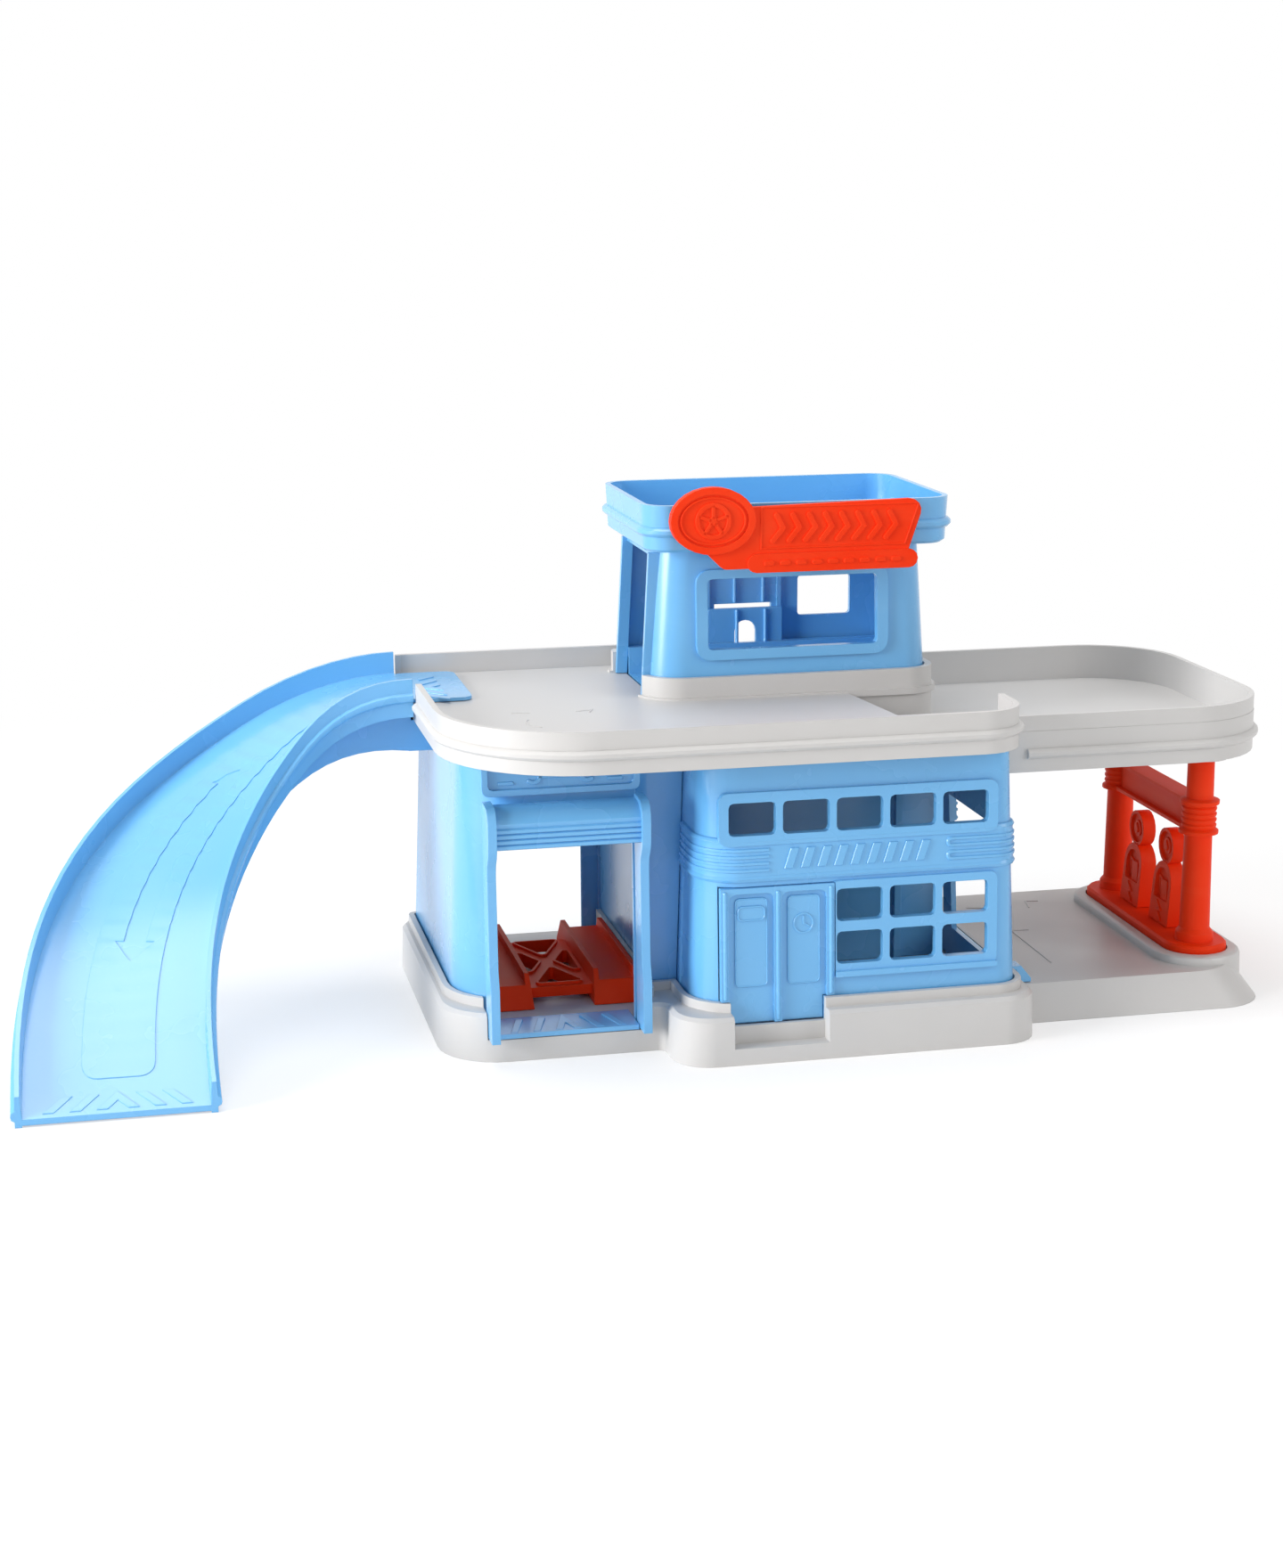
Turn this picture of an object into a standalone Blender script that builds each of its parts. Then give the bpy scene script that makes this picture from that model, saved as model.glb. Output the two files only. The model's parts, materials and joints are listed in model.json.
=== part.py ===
"""Toy parking garage: service bay, tune-up station, lift tower, helipad, curved ramp and fuel stop.

Lengths are written in millimetres and turned to metres when a mesh is made.
+X runs from the ramp to the fuel stop, +Y from the front to the back, +Z up; the origin is on the
ground at the middle of the whole toy.
"""
import math

import bmesh
import bpy
from mathutils import Matrix, Vector

MM = 0.001
WELD = 0.00001

# Clearances and wall gauges of the mouldings
GAP = 0.3
RUN = 1.0
WALL = 2.4
RIM_WALL = 2.6

# Upper deck: the main level, and the lower right level that is set back
DECK_LEFT = -95.5
DECK_FRONT = -92.0
DECK_BACK = 94.5
DECK_MAIN_LENGTH = 236.5
DECK_FLOOR = 133.1
DECK_STEP = 16.4
PARAPET = 9.2
LIP_DROP = 8.3
LOWER_LENGTH = 127.0
LOWER_SETBACK = 32.6
DECK_CORNER = 58.0
LOWER_CORNER = 38.0
BEAD = 2.3
STEP_INSET = 50.0
STEP_SLANT = 0.13
PARAPET_FLARE = 8.0

# Walls under the deck; they lean in by WALL_DRAFT between the base and the deck
WALL_OVERHANG = 4.5
STATION_OVERHANG = 10.5
WALL_DRAFT = 5.0
BAY_SETBACK = 26.5
RECESS_DEPTH = 11.0
BAY_WIDTH = 80.0
RECESS_WIDTH = 14.0
STATION_OUT = 2.0

# Base mouldings
SKIRT_REACH = 9.5
SIDE_REACH = 6.8
SKIRT_TOP = 20.3
COLLAR_TOP = 24.1
COLLAR_WALL = 3.2
BASE_FLOOR = 10.0
BASE_PLATE = 2.5
DOORSTEP_TOP = 7.0
DOOR_FOOT = 14.8
FORECOURT_TOP = 14.6
FORECOURT_FRONT = -67.0
FORECOURT_LEAN = 9.5
FORECOURT_SHORT = 3.2
FORECOURT_BACK = 82.0
CLIP_WIDTH = 8.0
CLIP_PLATE = 1.6

# Bay doorway
BAY_DOOR_LEFT = -76.3
BAY_DOOR_WIDTH = 59.4
BAY_DOOR_TOP = 90.0
FRAME_WIDTH = 3.6
FRAME_REACH = 13.0
SHUTTER_TOP = 108.0
SHUTTER_SLATS = 4
CHEEK_PLATE = 3.8
PANEL_HEIGHT = 15.0
PANEL_RIM = 2.5
PANEL_MARGIN = 3.0
SILL_DEPTH = 13.0
SILL_PLATE = 1.0

# Car rack in the bay
RACK_SHIFT = 4.6
RACK_FRONT = 25.0
RACK_LENGTH = 90.0
RACK_HEIGHT = 14.0
RACK_TRACK = 28.0
CHANNEL_WIDTH = 19.0
CHANNEL_SPLAY = 1.0
FIN = 2.0
LATTICE_DEPTH = 5.5
LATTICE_DROP = 5.6
LATTICE_BAR = 6.6
LATTICE_RIM = 1.1
CURB = 2.1
CURB_HEIGHT = 12.0

# Station front
WINDOW_COUNT = 5
MULLION = 2.9
WINDOW_HEIGHT = 13.6
UPPER_SILL = 93.4
LOWER_SILL = 37.4
LOWER_ROW_STEP = 18.0
WINDOWS_INSET_LEFT = 13.8
WINDOWS_INSET_RIGHT = 12.7
RIB_STOP = 17.0
RIB_START = 15.6
BAND_TOP = 90.8
BAND_BOTTOM = 75.2
DOOR_TOP = 69.2
DOOR_MULLION = 3.2
DOOR_JAMB = 3.4
PLATE_HEIGHT = 37.2
UPPER_RIM = 4.2
LOWER_RIM = 2.5
SIDE_DOOR_FRONT = 29.5
SIDE_OPENING_TOP = 86.0

# Lift shaft and tower
SHAFT_INSET_LEFT = 4.0
SHAFT_INSET_RIGHT = 15.0
SHAFT_FRONT = 10.0
SHAFT_DEPTH = 67.6
TOWER_TOP = 200.6
TOWER_DRAFT = 3.6
COLLAR_RISE = 9.5
PLATFORM = 3.0
SIDE_RAIL = 12.0
TOWER_CORNER = 15.0
TOWER_POST_FRONT = 10.0
TOWER_POST_BACK = 6.6
SLOT_INSET = 42.6
SLOT_WIDTH = 26.8
SLOT_TOP = 162.0
TOWER_WINDOW_INSET = 22.5
TOWER_WINDOW_SILL = 154.0
TOWER_WINDOW_HEIGHT = 30.6
TOWER_WINDOW_RIM = 5.0
REAR_WINDOW_INSET = 14.0
REAR_WINDOW_WIDTH = 25.0
REAR_WINDOW_SILL = 155.5
REAR_WINDOW_HEIGHT = 18.4
DOORWAY_DROP = 7.0
POST_WIDTH = 2.6
PLATE_LAP = 4.0
FINGER_HOLE = 10.0
FINGER_HOLE_FOOT = 138.0

# Helipad tray and sign
TRAY_SEAT = 2.1
TRAY_HEIGHT = 20.0
TRAY_OVERHANG = 8.6
TRAY_FRONT_OVERHANG = 17.0
TRAY_BACK_OVERHANG = 10.0
TRAY_FLOOR_RISE = 4.4
TRAY_BEAD_DROP = 11.3
SIGN_THICK = 3.0
SIGN_INSET = 24.4
SIGN_LENGTH = 96.5
SIGN_HEIGHT = 27.8
SIGN_RISE = 0.9
OVAL_SHIFT = 3.0
OVAL_WIDTH = 36.8
OVAL_HEIGHT = 28.4
OVAL_DROP = 6.1
OVAL_RIM = 3.0
STRIP_SHIFT = 18.0
STRIP_LENGTH = 75.0
STRIP_HEIGHT = 8.0
STRIP_DROP = 1.8
PEG_RADIUS = 2.0
PEG_DROP = 5.0

# Curved ramp
RAMP_TOP_WIDTH = 68.0
RAMP_END_WIDTH = 76.4
RAMP_MARGIN = 1.1
RAMP_REACH = 127.5
RAMP_STRAIGHT = 6.0
RAMP_END = -96.6
RAMP_SQUARENESS = 2.45
RAMP_EASE = 0.25
RAMP_FLOOR = 3.2
RAMP_WALL = 9.4
RAMP_SKIRT = 7.0
SPINE_DEPTH = 24.0
SPINE_SHARE = 0.72
LANDING_LENGTH = 25.5
LANDING_PLATE = 1.5

# Fuel stop under the lower deck
COLUMN_INSET = 25.4
COLUMN_FRONT = -31.5
COLUMN_SPACING = 88.5
COLUMN_RADIUS = 6.1
PLATE_WIDTH = 28.4
ISLAND_WIDTH = 41.0
ISLAND_TOP = 18.2
PLATE_TOP = 21.4
PLATE_SINK = 3.0
PUMP_SPACING = 33.8
PUMP_WIDTH = 20.6
PUMP_GLOBE = 8.2
PUMP_TOP = 50.6
PUMP_FRONT = 5.6
PUMP_BACK = 3.4
PUMP_LEAN = 2.2
BEAM_BOTTOM = 70.6
BEAM_HEIGHT = 14.0
BEAM_WIDTH = 10.0
BEAM_WEB = 5.2
BEAM_FLANGE = 1.6
RING_REACH = 2.6
RING_RIBS = 4
SOCKET_RADIUS = 12.5
SOCKET_DROP = 4.0

# Values that follow from the sizes above
DECK_RIGHT = DECK_LEFT + DECK_MAIN_LENGTH
LOWER_RIGHT = DECK_RIGHT + LOWER_LENGTH
LOWER_FRONT = DECK_FRONT + LOWER_SETBACK
LOWER_FLOOR = DECK_FLOOR - DECK_STEP
DECK_TOP = DECK_FLOOR + PARAPET
DECK_LIP = DECK_FLOOR - LIP_DROP
LOWER_TOP = LOWER_FLOOR + PARAPET
LOWER_LIP = LOWER_FLOOR - LIP_DROP
WALL_LEFT = DECK_LEFT + WALL_OVERHANG
BAY_RIGHT = WALL_LEFT + BAY_WIDTH
STATION_LEFT = BAY_RIGHT + RECESS_WIDTH
STATION_FRONT = DECK_FRONT + STATION_OVERHANG
STATION_RIGHT = DECK_RIGHT + STATION_OUT
BAY_FRONT = STATION_FRONT + BAY_SETBACK
RECESS_FRONT = BAY_FRONT + RECESS_DEPTH
WALL_BOTTOM = BASE_FLOOR + GAP
WALL_TOP = DECK_FLOOR - WALL - GAP
SEAM_X = BAY_RIGHT + RECESS_WIDTH * 0.6
SHAFT_LEFT = STATION_LEFT + SHAFT_INSET_LEFT
SHAFT_RIGHT = STATION_RIGHT - SHAFT_INSET_RIGHT
SLOT_LEFT = SHAFT_LEFT + SLOT_INSET
STEP_X = DECK_RIGHT - STEP_INSET
SHAFT_BACK = SHAFT_FRONT + SHAFT_DEPTH
WALLS_BACK = SHAFT_BACK + GAP + WALL
PLATE_LEFT = SLOT_LEFT - PLATE_LAP
PLATE_RIGHT = SLOT_LEFT + SLOT_WIDTH + PLATE_LAP
PLATE_BACK = SHAFT_BACK - RUN - 1.6
BASE_LEFT = WALL_LEFT - SIDE_REACH
BASE_RIGHT = STATION_RIGHT + SIDE_REACH
BASE_BACK = WALLS_BACK + GAP + COLLAR_WALL + 2.4
FORECOURT_RIGHT = LOWER_RIGHT - FORECOURT_SHORT
TRAY_BOTTOM = TOWER_TOP - TRAY_SEAT
TRAY_TOP = TRAY_BOTTOM + TRAY_HEIGHT
TRAY_FLOOR = TOWER_TOP + TRAY_FLOOR_RISE
TRAY_LEFT = SHAFT_LEFT - WALL + TOWER_DRAFT - TRAY_OVERHANG
TRAY_RIGHT = SHAFT_RIGHT + WALL - TOWER_DRAFT + TRAY_OVERHANG
TRAY_FRONT = SHAFT_FRONT - WALL + TOWER_DRAFT - TRAY_FRONT_OVERHANG
TRAY_BACK = SHAFT_BACK + WALL + TRAY_BACK_OVERHANG
COLLAR_BOTTOM = LOWER_FLOOR - WALL - 0.6
SIGN_LEFT = TRAY_LEFT + SIGN_INSET
SIGN_RIGHT = SIGN_LEFT + SIGN_LENGTH
SIGN_TOP = TRAY_TOP + SIGN_RISE
SIGN_BOTTOM = SIGN_TOP - SIGN_HEIGHT
SIGN_PEGS = (SIGN_LEFT + 0.37 * SIGN_LENGTH, SIGN_LEFT + 0.83 * SIGN_LENGTH)
COLUMN_X = LOWER_RIGHT - COLUMN_INSET
COLUMN_BACK = COLUMN_FRONT + COLUMN_SPACING
RAMP_CENTRE = DECK_BACK - RIM_WALL - RAMP_MARGIN - RAMP_TOP_WIDTH / 2
RAMP_TOP = DECK_FLOOR + GAP + LANDING_PLATE
BAY_DOOR_RIGHT = BAY_DOOR_LEFT + BAY_DOOR_WIDTH
FIRST_WINDOW = STATION_LEFT + WINDOWS_INSET_LEFT
WINDOW_PITCH = (STATION_RIGHT - WINDOWS_INSET_RIGHT - FIRST_WINDOW) / WINDOW_COUNT
WINDOW_WIDTH = WINDOW_PITCH - MULLION
WINDOWS_RIGHT = FIRST_WINDOW + WINDOW_COUNT * WINDOW_PITCH - MULLION
LOWER_WINDOWS = FIRST_WINDOW + 2 * WINDOW_PITCH
DOOR_STEP = WINDOW_PITCH - 0.5
DOOR_WIDTH = DOOR_STEP - DOOR_MULLION
GAP_FRONT = RAMP_CENTRE - RAMP_TOP_WIDTH / 2 - RUN / 2
GAP_BACK = RAMP_CENTRE + RAMP_TOP_WIDTH / 2 + RUN / 2


# Collections and materials

def clear_scene():
    for old in list(bpy.data.objects):
        bpy.data.objects.remove(old, do_unlink=True)


def make_collection(name):
    made = bpy.data.collections.new(name)
    bpy.context.scene.collection.children.link(made)
    return made


clear_scene()
PARTS = make_collection("toy_parking_garage")
CUTTERS = make_collection("cutters")


def srgb(code):
    channels = [int(code[i:i + 2], 16) / 255 for i in (0, 2, 4)]
    return [c / 12.92 if c <= 0.04045 else ((c + 0.055) / 1.055) ** 2.4 for c in channels] + [1.0]


def plastic(name, code, roughness):
    made = bpy.data.materials.new(name)
    made.use_nodes = True
    shader = made.node_tree.nodes["Principled BSDF"]
    shader.inputs["Base Color"].default_value = srgb(code)
    shader.inputs["Roughness"].default_value = roughness
    shader.inputs["Metallic"].default_value = 0.0
    made.diffuse_color = srgb(code)
    return made


BLUE = ("7DBDEB", 0.42)
GREY = ("C9C8C8", 0.5)
RED = ("F2451C", 0.4)


# Outlines in plan: a list of (x, y, radius) corners, anticlockwise

def outline(corners, inset=0.0, closed=True):
    """Corner points rounded to arcs, moved inwards by inset (to the left of the way round)."""
    count = len(corners)
    points = []
    for i, (x, y, radius) in enumerate(corners):
        here = Vector((x, y))
        before = Vector(corners[i - 1][:2]) if closed or i else None
        after = Vector(corners[(i + 1) % count][:2]) if closed or i < count - 1 else None
        if before is None or after is None:
            way = (after - here if before is None else here - before).normalized()
            points.append(here + inset * Vector((-way.y, way.x)))
            continue
        way_in = (here - before).normalized()
        way_out = (after - here).normalized()
        side_in = Vector((-way_in.y, way_in.x))
        side_out = Vector((-way_out.y, way_out.x))
        corner = here + inset * (side_in + side_out) / (1 + side_in.dot(side_out))
        turn = math.atan2(way_in.x * way_out.y - way_in.y * way_out.x, way_in.dot(way_out))
        steps = max(2, round(radius ** 0.5 * abs(turn)))
        fillet = max(radius - inset * math.copysign(1, turn), 0.15)
        centre = corner + (side_in + side_out) / (1 + side_in.dot(side_out)) * math.copysign(fillet, turn)
        start = -side_in * math.copysign(fillet, turn)
        for k in range(steps + 1):
            angle = turn * k / steps
            swing = Matrix.Rotation(angle, 2)
            points.append(centre + swing @ start)
    return points


def box_corners(x0, y0, x1, y1, radius=0.5):
    return [(x0, y0, radius), (x1, y0, radius), (x1, y1, radius), (x0, y1, radius)]


def oblong(cx, y0, y1, width):
    """Outline of a long plate with half-round ends, its length along Y."""
    radius = width / 2 - 0.01
    return box_corners(cx - width / 2, y0 - width / 2, cx + width / 2, y1 + width / 2, radius)


# Meshes and objects

def new_object(name, bm, material=None, collection=None):
    bmesh.ops.recalc_face_normals(bm, faces=bm.faces)
    mesh = bpy.data.meshes.new(name)
    bm.to_mesh(mesh)
    bm.free()
    if material:
        mesh.materials.append(plastic(name + "_plastic", *material))
    made = bpy.data.objects.new(name, mesh)
    (collection or PARTS).objects.link(made)
    return made


def loft(rings, close_loft=False):
    """A closed skin through rings of equally many points (in mm), with flat end caps."""
    bm = bmesh.new()
    grid = [[bm.verts.new(Vector(p) * MM) for p in ring] for ring in rings]
    size = len(rings[0])
    spans = len(rings) if close_loft else len(rings) - 1
    for i in range(spans):
        ring, following = grid[i], grid[(i + 1) % len(grid)]
        for j in range(size):
            k = (j + 1) % size
            bm.faces.new((ring[j], ring[k], following[k], following[j]))
    if not close_loft:
        bm.faces.new(grid[0])
        bm.faces.new(grid[-1])
    return bm


def prism(points, z0, z1, top=None):
    """An upright solid on a plan outline; top gives a second outline for drafted sides."""
    return loft([[(p[0], p[1], z0) for p in points], [(p[0], p[1], z1) for p in (top or points)]])


def face_prism(points, y0, y1, lean=0.0, z_ref=0.0):
    """A solid on an X-Z outline between two depths; lean tilts it with a drafted wall."""
    def ring(depth):
        return [(p[0], depth + lean * (p[1] - z_ref), p[1]) for p in points]
    return loft([ring(y0), ring(y1)])


def side_prism(points, x0, x1):
    """A solid on a Y-Z outline between two X positions."""
    return loft([[(x0, p[0], p[1]) for p in points], [(x1, p[0], p[1]) for p in points]])


def moulding(corners, profile, closed=True):
    """A strip of constant section that follows an outline; profile holds (outset, z) pairs."""
    tracks = [[(p.x, p.y, z) for p in outline(corners, -out, closed)] for out, z in profile]
    sections = [list(section) for section in zip(*tracks)]
    return loft(sections, close_loft=closed)


def round_bead(z, radius, sink=0.7, bury=1.5, steps=5):
    """Rounded section that stands out of a wall by its radius, its back buried in the wall."""
    swing = [math.pi * (k / steps - 0.5) for k in range(steps + 1)]
    arc = [((radius + sink) * math.cos(a) - sink, z + radius * math.sin(a)) for a in swing]
    return [(-bury, z - radius * 0.9)] + arc + [(-bury, z + radius * 0.9)]


def turned(x, y, profile, steps=20):
    """A turned solid about an upright axis; profile holds (radius, z) pairs from the bottom up."""
    rings = []
    for radius, z in profile:
        rings.append([(x + radius * math.cos(2 * math.pi * k / steps),
                       y + radius * math.sin(2 * math.pi * k / steps), z) for k in range(steps)])
    return loft(rings)


def tool(bm, target, operation):
    """Use a mesh to cut a part or to add to it, as a live Boolean."""
    made = new_object(target.name + "_tool", bm, collection=CUTTERS)
    made.hide_render = True
    made.display_type = "WIRE"
    change = target.modifiers.new(operation.lower(), "BOOLEAN")
    change.operation = operation
    change.solver = "EXACT"
    change.object = made
    seam = target.modifiers.new("seam", "WELD")
    seam.merge_threshold = WELD


def cut(target, *meshes):
    for bm in meshes:
        tool(bm, target, "DIFFERENCE")


def add(target, *meshes):
    for bm in meshes:
        tool(bm, target, "UNION")


def box(x0, y0, z0, x1, y1, z1):
    return prism([(x0, y0), (x1, y0), (x1, y1), (x0, y1)], z0, z1)


def window_points(x0, z0, width, height, radius=2.0):
    return outline(box_corners(x0, z0, x0 + width, z0 + height, radius))


# Walls: a drafted shell along an open outline

LEAN = WALL_DRAFT / (WALL_TOP - WALL_BOTTOM)


def inset_at(z):
    return LEAN * (z - WALL_BOTTOM)


def wall_shell(path_at, z0, z1):
    """The walls along an open outline, which path_at gives for each height."""
    def section(z):
        outer = outline(path_at(z), inset_at(z), closed=False)
        inner = outline(path_at(z), inset_at(z) + WALL, closed=False)
        return outer + inner[::-1]
    return prism(section(z0), z0, z1, section(z1))


def on_wall(points, face, front, back):
    """Relief on a leaning front wall, between two depths measured from the wall's face."""
    return face_prism(points, face + front, face + back, LEAN, WALL_BOTTOM)


def bay_path(z):
    """The bay's front and left walls, up to the corner where the station stands forward."""
    return [(WALL_LEFT, WALLS_BACK, 0), (WALL_LEFT, BAY_FRONT, 28), (BAY_RIGHT, BAY_FRONT, 3),
            (BAY_RIGHT, RECESS_FRONT, 3), (STATION_LEFT + inset_at(z) - GAP, RECESS_FRONT, 0)]


STATION_PATH = [(STATION_LEFT, RECESS_FRONT + 8, 0), (STATION_LEFT, STATION_FRONT, 20),
                (STATION_RIGHT, STATION_FRONT, 11), (STATION_RIGHT, WALLS_BACK, 0)]
POCKET = [(WALL_LEFT, WALLS_BACK + GAP, 1), (WALL_LEFT, BAY_FRONT, 28), (BAY_RIGHT, BAY_FRONT, 3),
          (BAY_RIGHT, RECESS_FRONT, 3), (STATION_LEFT, RECESS_FRONT, 1), (STATION_LEFT, STATION_FRONT, 20),
          (STATION_RIGHT, STATION_FRONT, 11), (STATION_RIGHT, WALLS_BACK + GAP, 1)]


def base_plinth():
    """Hollow base: a skirt, a collar round the walls, a curb in the bay, and a level way out at its back."""
    front = STATION_FRONT - SKIRT_REACH
    bay_front = BAY_FRONT - SKIRT_REACH
    step = STATION_LEFT - SKIRT_REACH
    skirt = [(BASE_LEFT, BASE_BACK, 10), (BASE_LEFT, bay_front, 26), (step, bay_front, 3),
             (step, front, 16), (BASE_RIGHT, front, 16), (BASE_RIGHT, BASE_BACK, 10)]
    edge = 1.6
    sides = [[(p.x, p.y, z) for p in outline(skirt, inset)]
             for inset, z in ((0, 0), (0.6, SKIRT_TOP - edge), (0.6 + edge, SKIRT_TOP))]
    part = new_object("base_plinth", loft(sides), GREY)
    collar = outline(POCKET, -COLLAR_WALL)
    add(part, prism(collar, SKIRT_TOP - 3, COLLAR_TOP, outline(POCKET, -COLLAR_WALL + 0.4)))
    above = COLLAR_TOP + 5
    cut(part, prism(outline(POCKET, -GAP), BASE_FLOOR, above))
    cut(part, box(BAY_DOOR_LEFT - FRAME_WIDTH - GAP, bay_front - 2, BASE_FLOOR - 0.6,
                  BAY_DOOR_RIGHT + FRAME_WIDTH + GAP, BAY_FRONT + 6, above))
    left, right = doorway_sides()
    riser = STATION_FRONT - GAP - 2
    cut(part, box(left - GAP, front - 2, DOORSTEP_TOP, right + GAP, riser, above))
    cut(part, box(left - GAP, riser - 2, DOOR_FOOT - GAP, right + GAP, STATION_FRONT + 3, above))
    curb_right = SEAM_X - WALL - GAP
    add(part, box(curb_right - CURB, RECESS_FRONT + WALL_DRAFT + 4, BASE_FLOOR - 1,
                  curb_right, SHAFT_BACK - 3, BASE_FLOOR + CURB_HEIGHT))
    cut(part, box(BAY_DOOR_LEFT - FRAME_WIDTH, WALLS_BACK - 1, BASE_FLOOR - 0.6,
                  curb_right - CURB, BASE_BACK + 2, above))
    hollow_top = BASE_FLOOR - BASE_PLATE
    back = BASE_BACK - BASE_PLATE
    bay_right = step
    hollow_left = BASE_LEFT + BASE_PLATE
    bay = [(hollow_left, bay_front + BASE_PLATE, 24), (bay_right, bay_front + BASE_PLATE, 3),
           (bay_right, back, 3), (hollow_left, back, 7.5)]
    cut(part, prism(outline(bay), -2, hollow_top))
    middle = (STATION_LEFT + STATION_RIGHT) / 2
    for x0, x1 in ((bay_right + BASE_PLATE, middle), (middle + BASE_PLATE, BASE_RIGHT - BASE_PLATE)):
        cut(part, prism(outline(box_corners(x0, STATION_FRONT + 3, x1, back, 7.5)), -2, hollow_top))


def forecourt_tray():
    """Hollow tray with drafted sides; the island holds the fuel frame's plate in a recess."""
    lean = FORECOURT_LEAN
    left = BASE_RIGHT + GAP

    def plan(inset, radius):
        right = FORECOURT_RIGHT - inset
        return outline([(left, FORECOURT_FRONT + inset, 1), (right, FORECOURT_FRONT + inset, radius),
                        (right, FORECOURT_BACK, radius), (left, FORECOURT_BACK, 1)])
    part = new_object("forecourt_tray", prism(plan(0, 22), 0, FORECOURT_TOP, plan(lean, 22)), GREY)
    island = oblong(COLUMN_X, COLUMN_FRONT, COLUMN_BACK, ISLAND_WIDTH)
    steps = ((0, 4), (0.3, ISLAND_TOP - 1.8), (0.9, ISLAND_TOP - 0.6), (2.2, ISLAND_TOP))
    add(part, loft([[(p.x, p.y, z) for p in outline(island, inset)] for inset, z in steps]))
    recess = oblong(COLUMN_X, COLUMN_FRONT, COLUMN_BACK, PLATE_WIDTH + 4 * GAP)
    cut(part, prism(outline(recess), ISLAND_TOP - PLATE_SINK, ISLAND_TOP + 2))
    hollow = box_corners(left + BASE_PLATE, FORECOURT_FRONT + lean + BASE_PLATE,
                         FORECOURT_RIGHT - lean - BASE_PLATE, FORECOURT_BACK - BASE_PLATE, 19.5)
    cut(part, prism(outline(hollow), -2, FORECOURT_TOP - BASE_PLATE))


def forecourt_clip():
    """The spring clip that hooks the forecourt to the plinth at the front of the seam."""
    x0 = BASE_RIGHT + GAP
    low = FORECOURT_TOP + GAP
    high = SKIRT_TOP + GAP
    hook = STATION_RIGHT + COLLAR_WALL + GAP
    clip = [(x0 + GAP, low), (x0 + 7, low), (x0 + 7, low + CLIP_PLATE), (x0 + 2.4, high + CLIP_PLATE),
            (hook, high + CLIP_PLATE), (hook, high), (x0 + GAP, high)]
    y0 = FORECOURT_FRONT + FORECOURT_LEAN + 2
    new_object("forecourt_clip", face_prism(clip, y0, y0 + CLIP_WIDTH), BLUE)


def bay_walls():
    """Bay shell with the inner wall at the seam and a bare name panel over the doorway."""
    part = new_object("bay_walls", wall_shell(bay_path, WALL_BOTTOM, WALL_TOP), BLUE)
    inner_left = SEAM_X - WALL
    inner_front = RECESS_FRONT + WALL / 2

    def inner_wall(front):
        return [(inner_left, front), (SEAM_X, front), (SEAM_X, WALLS_BACK), (inner_left, WALLS_BACK)]
    add(part, prism(inner_wall(inner_front), WALL_BOTTOM, WALL_TOP, inner_wall(inner_front + WALL_DRAFT)))
    left = BAY_DOOR_LEFT - PANEL_MARGIN
    width = BAY_DOOR_WIDTH + 2 * PANEL_MARGIN
    bottom = SHUTTER_TOP + 1
    panel = window_points(left, bottom, width, PANEL_HEIGHT, 3)
    rim = PANEL_RIM
    bare = window_points(left + rim, bottom + rim, width - 2 * rim, PANEL_HEIGHT - 2 * rim)
    add(part, on_wall(panel, BAY_FRONT, -2.2, 1.2))
    cut(part, on_wall(bare, BAY_FRONT, -4, -0.4))
    cut(part, box(BAY_DOOR_LEFT, BAY_FRONT - 4, WALL_BOTTOM - 3,
                  BAY_DOOR_RIGHT, BAY_FRONT + WALL + 8, BAY_DOOR_TOP))


def bay_door_frame():
    """Door posts with round cheeks and the rolled-up shutter between them, clipped to the bay's front."""
    back = BAY_FRONT - GAP
    face = back - CHEEK_PLATE
    front = face - FRAME_REACH
    foot = BASE_FLOOR + GAP
    top = BAY_DOOR_TOP
    crest = SHUTTER_TOP
    post = [(face + 0.5, foot), (front, foot), (front + 0.6, foot + 22), (front + 3.4, foot + 30)]
    post += [(front + 5.4, top - 10), (front + 4.6, top - 6), (front + 2.2, top - 2.4)]
    post += [(front + 1.2, top + 0.6)]
    post += [(front + 0.8, (top + crest) / 2), (front + 1.6, crest - 5), (front + 3.2, crest - 2)]
    post += [(front + 5.4, crest - 0.5), (front + 8.6, crest), (back - 0.2, crest), (back - 0.2, top)]
    part = new_object("bay_door_frame", side_prism(post, BAY_DOOR_LEFT - FRAME_WIDTH, BAY_DOOR_LEFT), BLUE)
    add(part, side_prism(post, BAY_DOOR_RIGHT, BAY_DOOR_RIGHT + FRAME_WIDTH))
    low = top + 0.4
    high = SHUTTER_TOP - 1.4
    roll = low + (high - low) * 0.55
    slat = (roll - low) / SHUTTER_SLATS
    blind = [(back - 0.2, low), (front + 3.9, low)]
    for k in range(SHUTTER_SLATS):
        z = low + slat * k
        blind += [(front + 3.0, z + 0.4), (front + 3.0, z + slat - 0.5), (front + 3.9, z + slat)]
    deep = back - 3 - (front + 3.0)
    blind += [(back - 3 - deep * math.cos(a), roll + (high - roll) * math.sin(a))
              for a in (math.pi / 2 * k / 6 for k in range(1, 7))]
    blind.append((back - 0.4, high))
    add(part, side_prism(blind, BAY_DOOR_LEFT - 1, BAY_DOOR_RIGHT + 1))


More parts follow.
